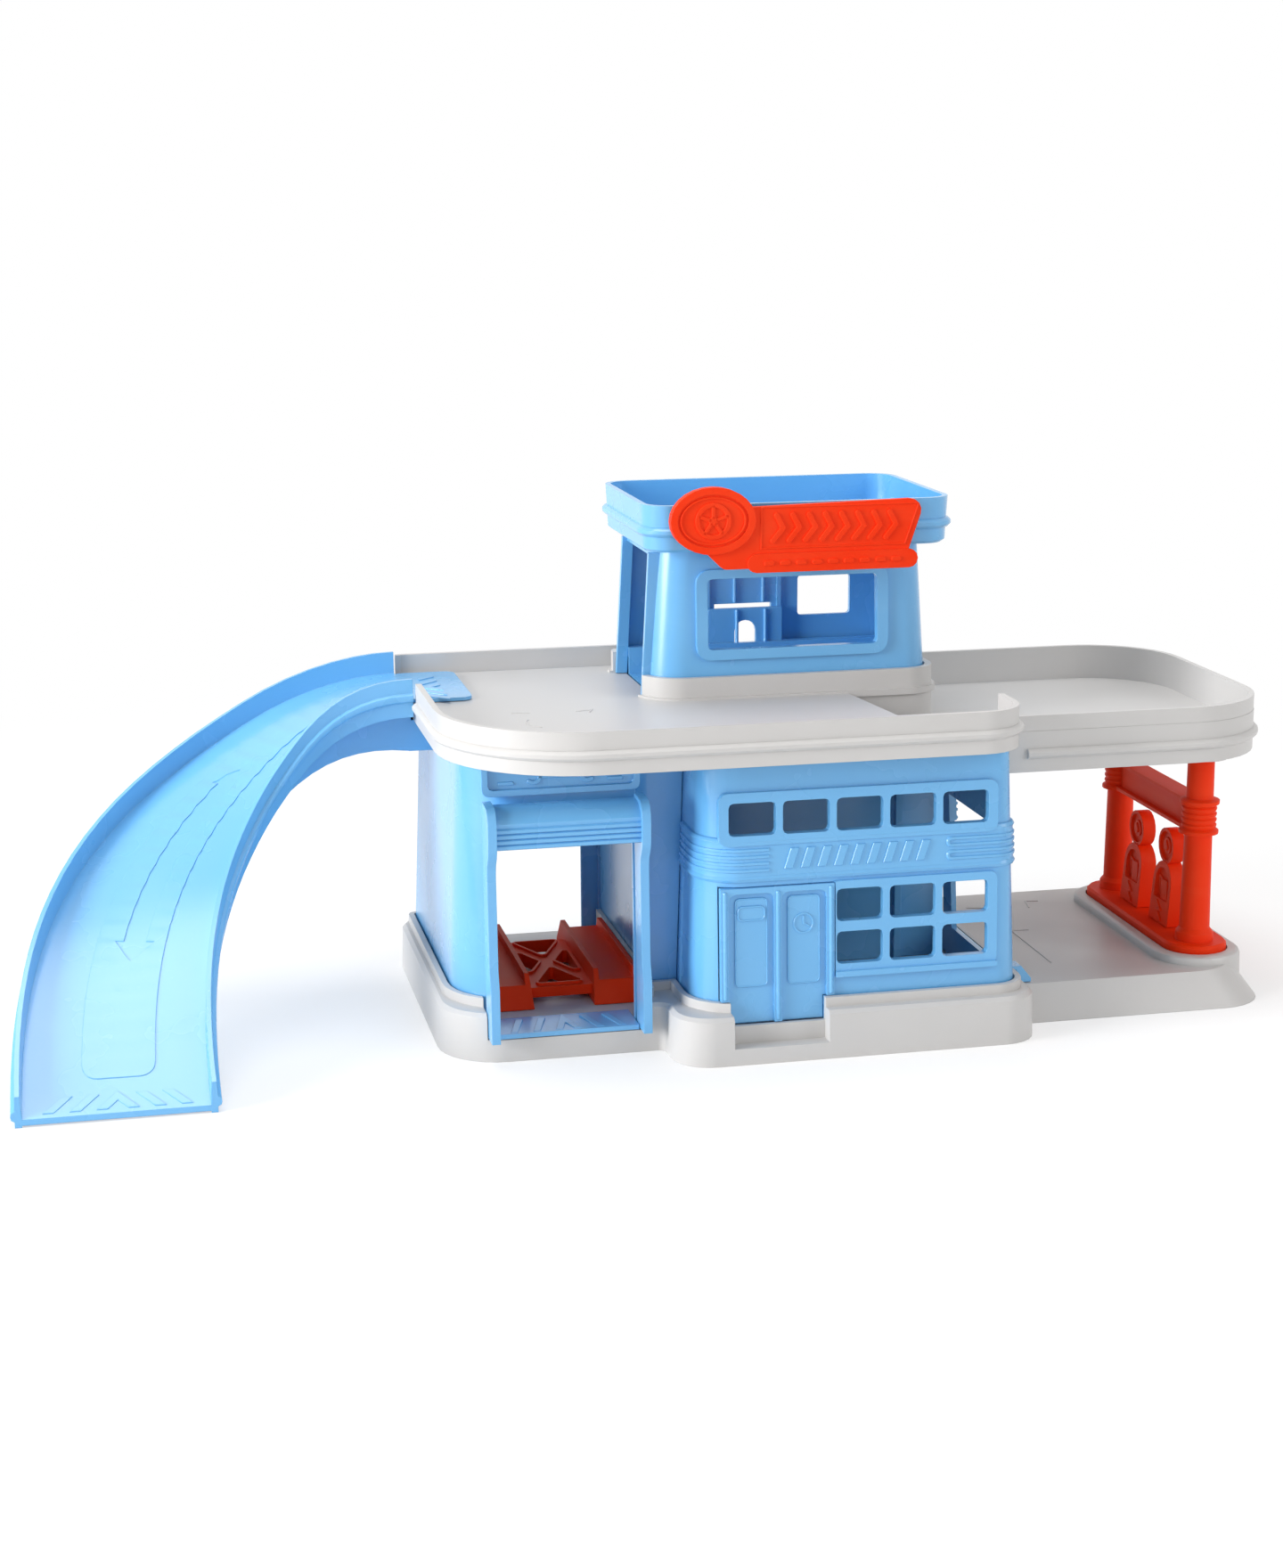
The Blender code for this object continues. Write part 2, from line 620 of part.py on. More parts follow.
def bay_sill_plate():
    """Threshold of the bay: a thin plate that slopes up from the ground edge to the bay floor."""
    y0 = BAY_FRONT - SKIRT_REACH + 0.4
    y1 = BAY_FRONT + SILL_DEPTH
    floor = BASE_FLOOR + GAP
    points = [(y0, floor - 0.6), (BAY_FRONT + 5.4, floor - 0.6), (BAY_FRONT + 6.4, floor), (y1, floor),
              (y1, floor + SILL_PLATE), (y0, floor + SILL_PLATE + 0.4)]
    new_object("bay_sill_plate", side_prism(points, BAY_DOOR_LEFT + GAP, BAY_DOOR_RIGHT - GAP), BLUE)


def service_rack():
    """Car rack on the bay floor: two wheel channels with splayed sides, joined by a crossed lattice."""
    centre = (BAY_DOOR_LEFT + BAY_DOOR_RIGHT) / 2 + RACK_SHIFT
    y0 = BAY_FRONT + RACK_FRONT
    y1 = y0 + RACK_LENGTH
    z0, z1 = BASE_FLOOR + GAP, BASE_FLOOR + RACK_HEIGHT
    track = RACK_TRACK / 2
    part = None
    for side in (-1, 1):
        middle = centre + side * (track + CHANNEL_WIDTH / 2)

        def section(y, top):
            wide = CHANNEL_WIDTH / 2
            foot = wide + CHANNEL_SPLAY
            crest = foot - CHANNEL_SPLAY * (top - z0) / (z1 - z0)
            return [(middle - foot, y, z0), (middle + foot, y, z0),
                    (middle + crest, y, top), (middle - crest, y, top)]
        body = loft([section(y0, z0 + 0.8), section(y0 + 8, z1), section(y1 - 6, z1), section(y1, z0 + 4)])
        if part is None:
            part = new_object("service_rack", body, RED)
        else:
            add(part, body)
        x0, x1 = middle - CHANNEL_WIDTH / 2 + FIN, middle + CHANNEL_WIDTH / 2 - FIN
        trough = [(y0 + 5, z1 - 4.4), (y1 + 2, z1 - 4.4), (y1 + 2, z1 + 3), (y0 + 5, z1 + 3)]
        cut(part, side_prism(trough, x0, x1))
        under = [(y0 + 8, z0 - 2), (y0 + 12, z1 - 6.6), (y1 - 3, z1 - 6.6), (y1 - 3, z0 - 2)]
        cut(part, side_prism(under, x0, x1))
    top = z1 - LATTICE_DROP
    low = top - LATTICE_DEPTH
    xa, xb = centre - track - 0.8, centre + track + 0.8
    ya, yb = y0 + 8, y1 - 14
    add(part, box(xa, ya, low, xb, yb, top - 1.1))
    radius = LATTICE_BAR / 2 + 1.2
    corners = box_corners(xa, ya, xb, yb, radius)
    crossing = (centre, (ya + yb) / 2, radius)
    fields = [[corners[k - 1], corners[k], crossing] for k in range(4)]
    for field in fields:
        add(part, prism(outline(field, LATTICE_BAR / 2 - LATTICE_RIM), low + 0.5, top))
    for field in fields:
        cut(part, prism(outline(field, LATTICE_BAR / 2), low - 1, top + 1))


def station_walls():
    """Station shell: framed windows, a ribbed band on two beads, and openings in the side wall."""
    part = new_object("station_walls", wall_shell(lambda z: STATION_PATH, WALL_BOTTOM, WALL_TOP), BLUE)
    rim = UPPER_RIM
    upper = window_points(FIRST_WINDOW - rim, UPPER_SILL - rim, WINDOWS_RIGHT - FIRST_WINDOW + 2 * rim,
                          WINDOW_HEIGHT + 2 * rim, 4)
    add(part, on_wall(upper, STATION_FRONT, -1.6, 1.4))
    left = LOWER_WINDOWS - LOWER_RIM
    width = WINDOWS_RIGHT - LOWER_WINDOWS + LOWER_RIM + rim
    foot = LOWER_SILL - rim
    lower = window_points(left, foot, width, LOWER_ROW_STEP + WINDOW_HEIGHT + 1.8 * rim, 3)
    add(part, on_wall(lower, STATION_FRONT, -1.4, 1.4))
    add(part, on_wall(window_points(left, foot - 1.2, width, 2.4, 1), STATION_FRONT, -2.6, 1.4))
    trim = band_path(0.0)
    for z in (BAND_TOP, BAND_BOTTOM):
        bead = [(out - inset_at(z), h) for out, h in round_bead(z, 1.7, steps=4)]
        add(part, moulding(trim, bead, closed=False))
    low, high = BAND_BOTTOM + 0.4, BAND_TOP - 0.4
    band = [(out - inset_at(z), z) for out, z in ((1.0, low), (1.0, high), (-1.0, high), (-1.0, low))]
    add(part, moulding(trim, band, closed=False))
    for k in range(4):
        z = BAND_BOTTOM + 3.6 + 2.8 * k
        rib = [(out + 0.8 - inset_at(z), h) for out, h in round_bead(z, 1.0, sink=0.4, bury=1.3, steps=3)]
        for path in rib_paths():
            add(part, moulding(path, rib, closed=False))
    for k in range(WINDOW_COUNT):
        cut(part, window_hole(FIRST_WINDOW + k * WINDOW_PITCH, UPPER_SILL))
    for k in range(WINDOW_COUNT - 2):
        for sill in (LOWER_SILL, LOWER_SILL + LOWER_ROW_STEP):
            cut(part, window_hole(LOWER_WINDOWS + k * WINDOW_PITCH, sill))
    sill = COLLAR_TOP + GAP
    shop_door = (STATION_FRONT + SIDE_DOOR_FRONT, SHAFT_FRONT - 10)
    lift_door = (SHAFT_FRONT + RUN, SHAFT_BACK - RUN)
    for y0, y1 in (shop_door, lift_door):
        opening = [(y0, sill), (y1, sill), (y1, SIDE_OPENING_TOP), (y0, SIDE_OPENING_TOP)]
        cut(part, side_prism(opening, STATION_RIGHT - 12, STATION_RIGHT + 6))
    cut(part, box(STATION_RIGHT - 14, LOWER_FRONT - BEAD - GAP, LOWER_LIP - GAP, STATION_RIGHT + 8,
                  WALLS_BACK + 5, WALL_TOP + 5))
    hole = door_outline(GAP)
    for k in (0, 1):
        hole[k] = (hole[k][0], WALL_BOTTOM - 2)
    cut(part, on_wall(hole, STATION_FRONT, -4, 8))


def window_hole(left, sill):
    return on_wall(window_points(left, sill, WINDOW_WIDTH, WINDOW_HEIGHT), STATION_FRONT, -8, 8)


def band_path(short):
    """The way of the band round the station, from the recess corner to near the end of the side wall."""
    start = (STATION_LEFT, RECESS_FRONT - GAP - short, 0)
    return [start] + STATION_PATH[1:-1] + [(STATION_RIGHT, WALLS_BACK - 1.2 - short, 0)]


def rib_paths():
    """The ribs of the band stop either side of a plain middle."""
    path = band_path(0.6)
    left = path[:2] + [(FIRST_WINDOW + RIB_STOP, STATION_FRONT, 0)]
    right = [(WINDOWS_RIGHT - RIB_START, STATION_FRONT, 0)] + path[2:]
    return left, right


def doorway_sides():
    """Left and right of the part of the doors that comes down through the plinth's collar."""
    return FIRST_WINDOW + 0.4, FIRST_WINDOW + DOOR_STEP + DOOR_WIDTH - 1.4


def door_outline(grow=0.0):
    """Outline of the door panel, grown by a gap all round for its opening; narrower down in the collar."""
    left, right = doorway_sides()
    left, right = left - grow, right + grow
    x0, x1 = FIRST_WINDOW - DOOR_JAMB - grow, FIRST_WINDOW + DOOR_STEP + DOOR_WIDTH + DOOR_JAMB + grow
    foot, shoulder, top = DOOR_FOOT - grow, COLLAR_TOP + GAP - grow, DOOR_TOP + 2.4 + grow
    return [(left, foot), (right, foot), (right, shoulder), (x1, shoulder), (x1, top), (x0, top),
            (x0, shoulder), (left, shoulder)]


def station_doors():
    """A pair of moulded doors on one panel: two sunk leaves between raised jambs."""
    part = new_object("station_doors", on_wall(door_outline(), STATION_FRONT, -1.1, WALL), BLUE)
    for k in (0, 1):
        left = FIRST_WINDOW + k * DOOR_STEP
        right = left + DOOR_WIDTH
        leaf = outline([(left, DOOR_FOOT - 6, 1), (right, DOOR_FOOT - 6, 1),
                        (right, DOOR_TOP, 3), (left, DOOR_TOP, 3)])
        plate = window_points(left + 2.6, DOOR_TOP - PLATE_HEIGHT - 2, DOOR_WIDTH - 5.2, PLATE_HEIGHT, 2)
        cut(part, on_wall(leaf, STATION_FRONT, -3, 0.5))
        add(part, on_wall(plate, STATION_FRONT, -0.1, 1.2))


def shaft_front_panel():
    """Partition between the station room and the lift shaft, with the lift's front guide ribs."""
    x0, x1 = SEAM_X + GAP * 2, STATION_RIGHT - WALL_DRAFT - WALL - GAP - 1
    z0, z1 = BASE_FLOOR + GAP, COLLAR_BOTTOM - GAP
    y1 = SHAFT_FRONT - GAP
    part = new_object("shaft_front_panel", box(x0, y1 - WALL, z0, x1, y1, z1), BLUE)
    for x in (SHAFT_LEFT + 12, SHAFT_RIGHT - 12):
        add(part, box(x - 1.5, y1 - WALL - 3, z0, x + 1.5, y1 - 1, z1))


def shaft_rear_panel():
    """Back of the shaft under the tower, slotted so that the lift can be pushed from behind."""
    x0, x1 = SHAFT_LEFT - 6, SHAFT_RIGHT + 3
    y0 = SHAFT_BACK + GAP
    top = COLLAR_BOTTOM - GAP
    part = new_object("shaft_rear_panel", box(x0, y0, BASE_FLOOR + GAP, x1, y0 + WALL, top), BLUE)
    cut(part, box(SLOT_LEFT, y0 - 3, BASE_FLOOR + 8, SLOT_LEFT + SLOT_WIDTH, y0 + WALL + 3, top + 3))


def tower_corners(inset=0.0):
    """Plan of the tower's outer face; only the back is upright, the other sides are drafted."""
    left, right = SHAFT_LEFT - WALL + inset, SHAFT_RIGHT + WALL - inset
    front, back = SHAFT_FRONT - WALL + inset, SHAFT_BACK + WALL
    return [(left, back, 2), (left, front, TOWER_CORNER), (right, front, 11), (right, back, 2)]


def tower_housing():
    """Lift tower on the deck: framed front window, small rear window, rear slot and an open left side."""
    z0, z1 = DECK_FLOOR + GAP, TOWER_TOP
    lean = TOWER_DRAFT / (z1 - z0)

    def shell(inset, low, high):
        sections = [(z, outline(tower_corners(lean * (z - z0)), inset)) for z in (low, high)]
        return loft([[(p.x, p.y, z) for p in points] for z, points in sections])
    part = new_object("tower_housing", shell(0, z0, z1), BLUE)
    cut(part, shell(WALL, z0 - 2, z1 + 2))
    face = SHAFT_FRONT - WALL
    rim = TOWER_WINDOW_RIM
    left = SHAFT_LEFT + TOWER_WINDOW_INSET
    width = SHAFT_RIGHT - TOWER_WINDOW_INSET - left
    frame = window_points(left - rim, TOWER_WINDOW_SILL - 0.9 * rim,
                          width + 2 * rim, TOWER_WINDOW_HEIGHT + 1.7 * rim, 6)
    glass = window_points(left, TOWER_WINDOW_SILL, width, TOWER_WINDOW_HEIGHT)
    add(part, face_prism(frame, face - 1.8, face + 1.2, lean, z0))
    cut(part, face_prism(glass, face - 6, face + 10, lean, z0))
    back = SHAFT_BACK
    rear_left = SHAFT_RIGHT - REAR_WINDOW_INSET - REAR_WINDOW_WIDTH
    rear = window_points(rear_left, REAR_WINDOW_SILL, REAR_WINDOW_WIDTH, REAR_WINDOW_HEIGHT, 1.5)
    cut(part, face_prism(rear, back - 4, back + WALL + 4))
    slot_right = SLOT_LEFT + SLOT_WIDTH
    cut(part, box(SLOT_LEFT, back - 4, z0 - 3, slot_right, back + WALL + 4, SLOT_TOP))
    y0, y1 = SHAFT_FRONT + TOWER_POST_FRONT, SHAFT_BACK - TOWER_POST_BACK
    head = z1 - DOORWAY_DROP
    left = SHAFT_LEFT - WALL
    cut(part, box(left - 5, y0, z0 - 3, SHAFT_LEFT + 14, y1, head))
    for y in (y0 - POST_WIDTH, y1):
        def post(inset):
            return [(left - 2.2 + inset, y), (SHAFT_LEFT + 0.3 + inset, y),
                    (SHAFT_LEFT + 0.3 + inset, y + POST_WIDTH), (left - 2.2 + inset, y + POST_WIDTH)]
        add(part, prism(post(0), z0, head + 2, post(lean * (head + 2 - z0))))
    for x in (SLOT_LEFT - PLATE_LAP - 0.4, slot_right + PLATE_LAP - 1.6):
        add(part, box(x, back - 1.6, DECK_FLOOR + SIDE_RAIL, x + 2, back + 1, z1 - 1))


def grown_collar(reach):
    """Plan of the tower's outer face moved outwards all round, for the collar it drops into."""
    def moved(at, middle):
        return at + math.copysign(reach, at - middle)
    middle_x, middle_y = (SHAFT_LEFT + SHAFT_RIGHT) / 2, (SHAFT_FRONT + SHAFT_BACK) / 2
    corners = tower_corners()
    return outline([(moved(x, middle_x), moved(y, middle_y), radius + reach) for x, y, radius in corners])


def low_pocket():
    """Inner faces of the lower level: a slanting step on the left, the tower collar at the back."""
    front = STATION_FRONT + WALL_DRAFT + 2 * WALL + 2 * GAP
    right = STATION_RIGHT - WALL_DRAFT - 2 * WALL - 2 * GAP
    bury = COLLAR_WALL - 0.8
    collar_front = SHAFT_FRONT - WALL - bury
    collar_right = SHAFT_RIGHT + WALL + bury
    rim_front, rim_right = LOWER_FRONT + RIM_WALL, LOWER_RIGHT - RIM_WALL
    rim_back = DECK_BACK - RIM_WALL - 0.1
    step = [(STEP_X, collar_front, 1), (STEP_X + STEP_SLANT * (collar_front - front), front, 3)]
    rim = [(right, front, 5), (right, rim_front, 1), (rim_right, rim_front, LOWER_CORNER)]
    rear = [(rim_right, rim_back, LOWER_CORNER), (collar_right, rim_back, 1)]
    return step + rim + rear + [(collar_right, collar_front, 10)]


def upper_deck():
    """Parking deck on two levels, with its parapet, the tower's collar and the post sockets."""
    above, below = DECK_TOP + 6, LOWER_LIP - 5
    corner = LOWER_CORNER + RIM_WALL
    bend = (DECK_LEFT, DECK_FRONT, DECK_CORNER)
    turn = (DECK_RIGHT, DECK_FRONT, 20)
    main = [bend, turn, (DECK_RIGHT, DECK_BACK, 1), (DECK_LEFT, DECK_BACK, 1.5)]
    part = new_object("upper_deck", prism(outline(main), DECK_LIP, DECK_TOP), GREY)
    cut(part, prism(outline(main, RIM_WALL), DECK_FLOOR, above))
    cut(part, prism(outline(main, RIM_WALL), DECK_LIP - 5, DECK_FLOOR - WALL))
    overlap = DECK_RIGHT - 5
    ends = [(LOWER_RIGHT, LOWER_FRONT, corner), (LOWER_RIGHT, DECK_BACK, corner)]
    low = [(overlap, LOWER_FRONT, 1)] + ends + [(overlap, DECK_BACK, 1)]
    add(part, prism(outline(low_pocket(), -WALL), LOWER_FLOOR - WALL, DECK_FLOOR - 0.6))
    add(part, prism(outline(low), LOWER_LIP, LOWER_TOP))
    drop = DECK_TOP - LOWER_TOP - 0.1
    flare = [(DECK_RIGHT - 1, LOWER_TOP - 2), (DECK_RIGHT + PARAPET_FLARE, LOWER_TOP - 2)]
    flare += [(DECK_RIGHT + PARAPET_FLARE * (1 - math.sin(a)), LOWER_TOP - 0.1 + drop * (1 - math.cos(a)))
              for a in (math.pi / 2 * k / 5 for k in range(6))]
    flare.append((DECK_RIGHT - 1, DECK_TOP - 0.1))
    add(part, face_prism(flare, LOWER_FRONT + 0.1, LOWER_FRONT + RIM_WALL - 0.1))
    cut(part, prism(outline(low_pocket()), LOWER_FLOOR, above))
    right = LOWER_RIGHT - RIM_WALL
    front, back = LOWER_FRONT + RIM_WALL, DECK_BACK - RIM_WALL
    inside = [(DECK_RIGHT + 1, front, 2), (right, front, LOWER_CORNER), (right, back, LOWER_CORNER),
              (DECK_RIGHT + 1, back, 2)]
    cut(part, prism(outline(inside), below, LOWER_FLOOR - WALL))
    bead_z = DECK_FLOOR - 0.4
    rim_front = [(DECK_LEFT, GAP_FRONT - 4, 0), bend, turn, (DECK_RIGHT, LOWER_FRONT - 1, 0)]
    rim_back = [(DECK_RIGHT - 12, DECK_BACK, 0), (DECK_LEFT + 2, DECK_BACK, 0)]
    low_rim = [(DECK_RIGHT + 10, LOWER_FRONT, 0)] + ends + [(DECK_RIGHT + 10, DECK_BACK, 0)]
    for path, z in ((rim_front, bead_z), (rim_back, bead_z), (low_rim, bead_z - DECK_STEP)):
        add(part, moulding(path, round_bead(z, BEAD), closed=False))
    add(part, prism(grown_collar(COLLAR_WALL), COLLAR_BOTTOM, DECK_FLOOR + COLLAR_RISE))
    add(part, prism(grown_collar(COLLAR_WALL + 1.6), DECK_FLOOR - 1.8, DECK_FLOOR + 0.9))
    cut(part, prism(outline(tower_corners(), -GAP), DECK_FLOOR, above))
    cut(part, prism(outline(tower_corners(), WALL), below, above))
    y0 = SHAFT_FRONT + TOWER_POST_FRONT - POST_WIDTH - GAP
    y1 = SHAFT_BACK - TOWER_POST_BACK + POST_WIDTH + GAP
    cut(part, box(SHAFT_LEFT - WALL - COLLAR_WALL - 4, y0, DECK_FLOOR, SHAFT_LEFT + 12, y1, above))
    cut(part, box(SLOT_LEFT, SHAFT_BACK - 4, below, SLOT_LEFT + SLOT_WIDTH, DECK_BACK + 8, above))
    cut(part, box(DECK_LEFT - 6, GAP_FRONT, DECK_FLOOR - 0.2, DECK_LEFT + RIM_WALL + 1, GAP_BACK, above))
    foot = LOWER_LIP - SOCKET_DROP
    socket = [(SOCKET_RADIUS - 0.8, foot), (SOCKET_RADIUS, foot + 0.8), (SOCKET_RADIUS, LOWER_FLOOR - 1)]
    bore = COLUMN_RADIUS + GAP
    for y in (COLUMN_FRONT, COLUMN_BACK):
        add(part, turned(COLUMN_X, y, socket))
        cut(part, turned(COLUMN_X, y, [(bore, LOWER_LIP - 9), (bore, LOWER_LIP + 3)]))


def helipad_tray():
    """Roof tray that caps the tower; the sign's pegs go through its front rim."""
    corners = box_corners(TRAY_LEFT, TRAY_FRONT, TRAY_RIGHT, TRAY_BACK, 12)
    bead_z = TRAY_TOP - TRAY_BEAD_DROP
    steps = ((2.6, TRAY_BOTTOM), (1.0, TRAY_BOTTOM + 1.2), (0.6, bead_z), (0, TRAY_TOP))
    sides = [[(p.x, p.y, z) for p in outline(corners, inset)] for inset, z in steps]
    part = new_object("helipad_tray", loft(sides), BLUE)
    add(part, moulding(corners, [(out - 0.6, z) for out, z in round_bead(bead_z, BEAD)]))
    cut(part, prism(outline(corners, WALL), TRAY_FLOOR, TRAY_TOP + 3))
    lean = TOWER_DRAFT / (TOWER_TOP - DECK_FLOOR - GAP)
    seat = tower_corners(TOWER_DRAFT - lean * TRAY_SEAT)
    cut(part, prism(outline(seat, -GAP), TRAY_BOTTOM - 2, TOWER_TOP + GAP))
    cut(part, prism(outline(seat, WALL + 2), TRAY_BOTTOM, TRAY_FLOOR - WALL))
    for x in SIGN_PEGS:
        cut(part, peg(x, PEG_RADIUS + GAP, TRAY_FRONT - 4, TRAY_FRONT + WALL + 2))


def round_points(x, z, width, height, steps=12):
    """Points round an ellipse on the front of the toy."""
    swing = [2 * math.pi * k / steps for k in range(steps)]
    return [(x + width / 2 * math.cos(a), z + height / 2 * math.sin(a)) for a in swing]


def peg(x, radius, y0, y1):
    return face_prism(round_points(x, TRAY_TOP - PEG_DROP, 2 * radius, 2 * radius), y0, y1)


def roof_sign():
    """Sign board on the tray's front rim: a medallion, a slanted banner and a lower strip, all bare."""
    back = TRAY_FRONT - BEAD - GAP
    front = back - SIGN_THICK
    left, right, low, high = SIGN_LEFT, SIGN_RIGHT, SIGN_BOTTOM, SIGN_TOP
    length, height = SIGN_LENGTH, SIGN_HEIGHT
    under = [(left, low + 0.27 * height, 1), (left + 0.08 * length, low, 3), (left + 0.37 * length, low, 2)]
    over = [(right - 0.08 * length, low + 0.19 * height, 2), (right, high, 5)]
    over += [(left + 2, high - 0.08 * height, 3)]
    part = new_object("roof_sign", face_prism(outline(under + over), front, back), RED)
    half_round = STRIP_HEIGHT / 2 - 0.1
    strip = window_points(left + STRIP_SHIFT, low - STRIP_DROP, STRIP_LENGTH, STRIP_HEIGHT, half_round)
    add(part, face_prism(strip, front - 0.8, back - 0.2))
    middle = (left + OVAL_SHIFT, TRAY_TOP - OVAL_DROP)
    add(part, face_prism(round_points(*middle, OVAL_WIDTH, OVAL_HEIGHT, 28), front - 1.4, back - 0.1))
    bare = round_points(*middle, OVAL_WIDTH - 2 * OVAL_RIM, OVAL_HEIGHT - 2 * OVAL_RIM, 28)
    cut(part, face_prism(bare, front - 4, front - 0.6))
    for x in SIGN_PEGS:
        add(part, peg(x, PEG_RADIUS, back - 1, TRAY_FRONT + WALL + 1))


def elevator_platform():
    """Lift floor with a low rail along the front and the back, open at both ends."""
    x0, x1 = SHAFT_LEFT + RUN, SHAFT_RIGHT - RUN
    y0, y1 = SHAFT_FRONT + RUN, PLATE_BACK
    corners = [(x0, y0, TOWER_CORNER - WALL), (x1, y0, 8), (x1, y1, 1), (x0, y1, 1)]
    top = DECK_FLOOR + SIDE_RAIL
    part = new_object("elevator_platform", prism(outline(corners), DECK_FLOOR - PLATFORM, top), BLUE)
    cut(part, box(x0 - 2, y0 + WALL, DECK_FLOOR, x1 + 2, y1 - 2 * WALL - GAP, top + 3))
    left, right = PLATE_LEFT - GAP, PLATE_RIGHT + GAP
    cut(part, box(left, y1 - WALL, DECK_FLOOR, right, y1 + 3, top + 3))


def elevator_back_plate():
    """Upright plate that fills the tower's rear slot, with an arched hole for a finger."""
    foot = DECK_FLOOR + GAP
    plate = window_points(PLATE_LEFT, foot, PLATE_RIGHT - PLATE_LEFT, SLOT_TOP - 1.4 - foot, 1)
    y0 = PLATE_BACK - WALL + GAP
    part = new_object("elevator_back_plate", face_prism(plate, y0, PLATE_BACK), BLUE)
    middle = SLOT_LEFT + SLOT_WIDTH / 2
    radius = FINGER_HOLE / 2
    spring = FINGER_HOLE_FOOT + 12
    arch = [(middle - radius, FINGER_HOLE_FOOT), (middle + radius, FINGER_HOLE_FOOT)]
    arch += [(middle + radius * math.cos(a), spring + radius * math.sin(a))
             for a in (math.pi * k / 8 for k in range(9))]
    cut(part, face_prism(arch, y0 - 3, PLATE_BACK + 4))


def ramp_point(t):
    """A point of the ramp's centre line in plan, at t from 0 at the deck to 1 at the ground."""
    turn = math.pi / 2 * t
    power = 2 / RAMP_SQUARENESS
    x = DECK_LEFT - RUN - RAMP_STRAIGHT - RAMP_REACH * math.sin(turn) ** power
    y = RAMP_END + (RAMP_CENTRE - RAMP_END) * max(math.cos(turn), 0.0) ** power
    return Vector((x, y))


def ramp_track(steps):
    """Even stations along the ramp: centre, outward direction, floor height, half width, share."""
    start = Vector((DECK_LEFT - RUN, RAMP_CENTRE))
    fine = [start] + [ramp_point(k / 400) for k in range(401)]
    way = [0.0]
    for a, b in zip(fine, fine[1:]):
        way.append(way[-1] + (b - a).length)
    drop = (RAMP_TOP - RAMP_FLOOR) / (1 - RAMP_EASE / 2)
    stations = []
    j = 0
    for i in range(steps + 1):
        share = i / steps
        reach = way[-1] * share
        while j < len(way) - 2 and way[j + 1] < reach:
            j += 1
        centre = fine[j].lerp(fine[j + 1], (reach - way[j]) / max(way[j + 1] - way[j], 1e-9))
        along = (fine[min(j + 7, len(fine) - 1)] - fine[max(j - 6, 0)]).normalized()
        if i == 0:
            along = Vector((-1, 0))
        if i == steps:
            along = Vector((0, -1))
        eased = share ** 2 / (2 * RAMP_EASE) if share < RAMP_EASE else share - RAMP_EASE / 2
        half = (RAMP_TOP_WIDTH + (RAMP_END_WIDTH - RAMP_TOP_WIDTH) * share) / 2
        stations.append((centre, Vector((along.y, -along.x)), RAMP_TOP - drop * eased, half, share))
    return stations


def ramp_loft(profile, steps, spans=None):
    """A skin along the ramp; profile gives (sideways, up) pairs for a half width, height and share."""
    rings = []
    for centre, out, z, half, share in ramp_track(steps)[:spans]:
        section = profile(half, z, share)
        rings.append([(centre.x + out.x * a, centre.y + out.y * a, z + b) for a, b in section])
    return loft(rings)


def car_ramp():
    """Quarter-turn ramp: a channel with a bead along both walls and a deep spine under its upper half."""
    def channel(half, z, share):
        skirt = min(RAMP_SKIRT, z - 0.05)
        right = [(half - WALL, 0), (half - WALL * 0.8, RAMP_WALL), (half, RAMP_WALL), (half + 0.3, 3.4),
                 (half + 1.6, 2.6), (half + 1.9, 1.3), (half + 1.6, 0), (half + 0.3, -0.8),
                 (half + 0.3, -skirt), (half - WALL, -skirt), (half - WALL, -WALL)]
        return right + [(-a, b) for a, b in right[::-1]]

    def spine(half, z, share):
        least = WALL + 1
        deep = least + (SPINE_DEPTH - least) * max(1 - share / 0.62, 0)
        wide = half * SPINE_SHARE
        return [(wide, -0.8), (wide, -deep), (-wide, -deep), (-wide, -0.8)]
    part = new_object("car_ramp", ramp_loft(channel, 28), BLUE)
    add(part, ramp_loft(spine, 28, 18))
    x0 = DECK_LEFT - RUN - 1
    half = RAMP_TOP_WIDTH / 2
    tab = box_corners(x0, RAMP_CENTRE - half + 2.8, DECK_LEFT + LANDING_LENGTH, RAMP_CENTRE + half - 4, 5)
    add(part, prism(outline(tab), DECK_FLOOR + GAP, RAMP_TOP))
    foot = RAMP_TOP - SPINE_DEPTH
    reach = half * SPINE_SHARE
    wall_x = WALL_LEFT + inset_at(foot) - GAP
    back = min(RAMP_CENTRE + reach, WALLS_BACK)
    add(part, box(x0, RAMP_CENTRE - reach, foot, wall_x, back, DECK_LIP - GAP))


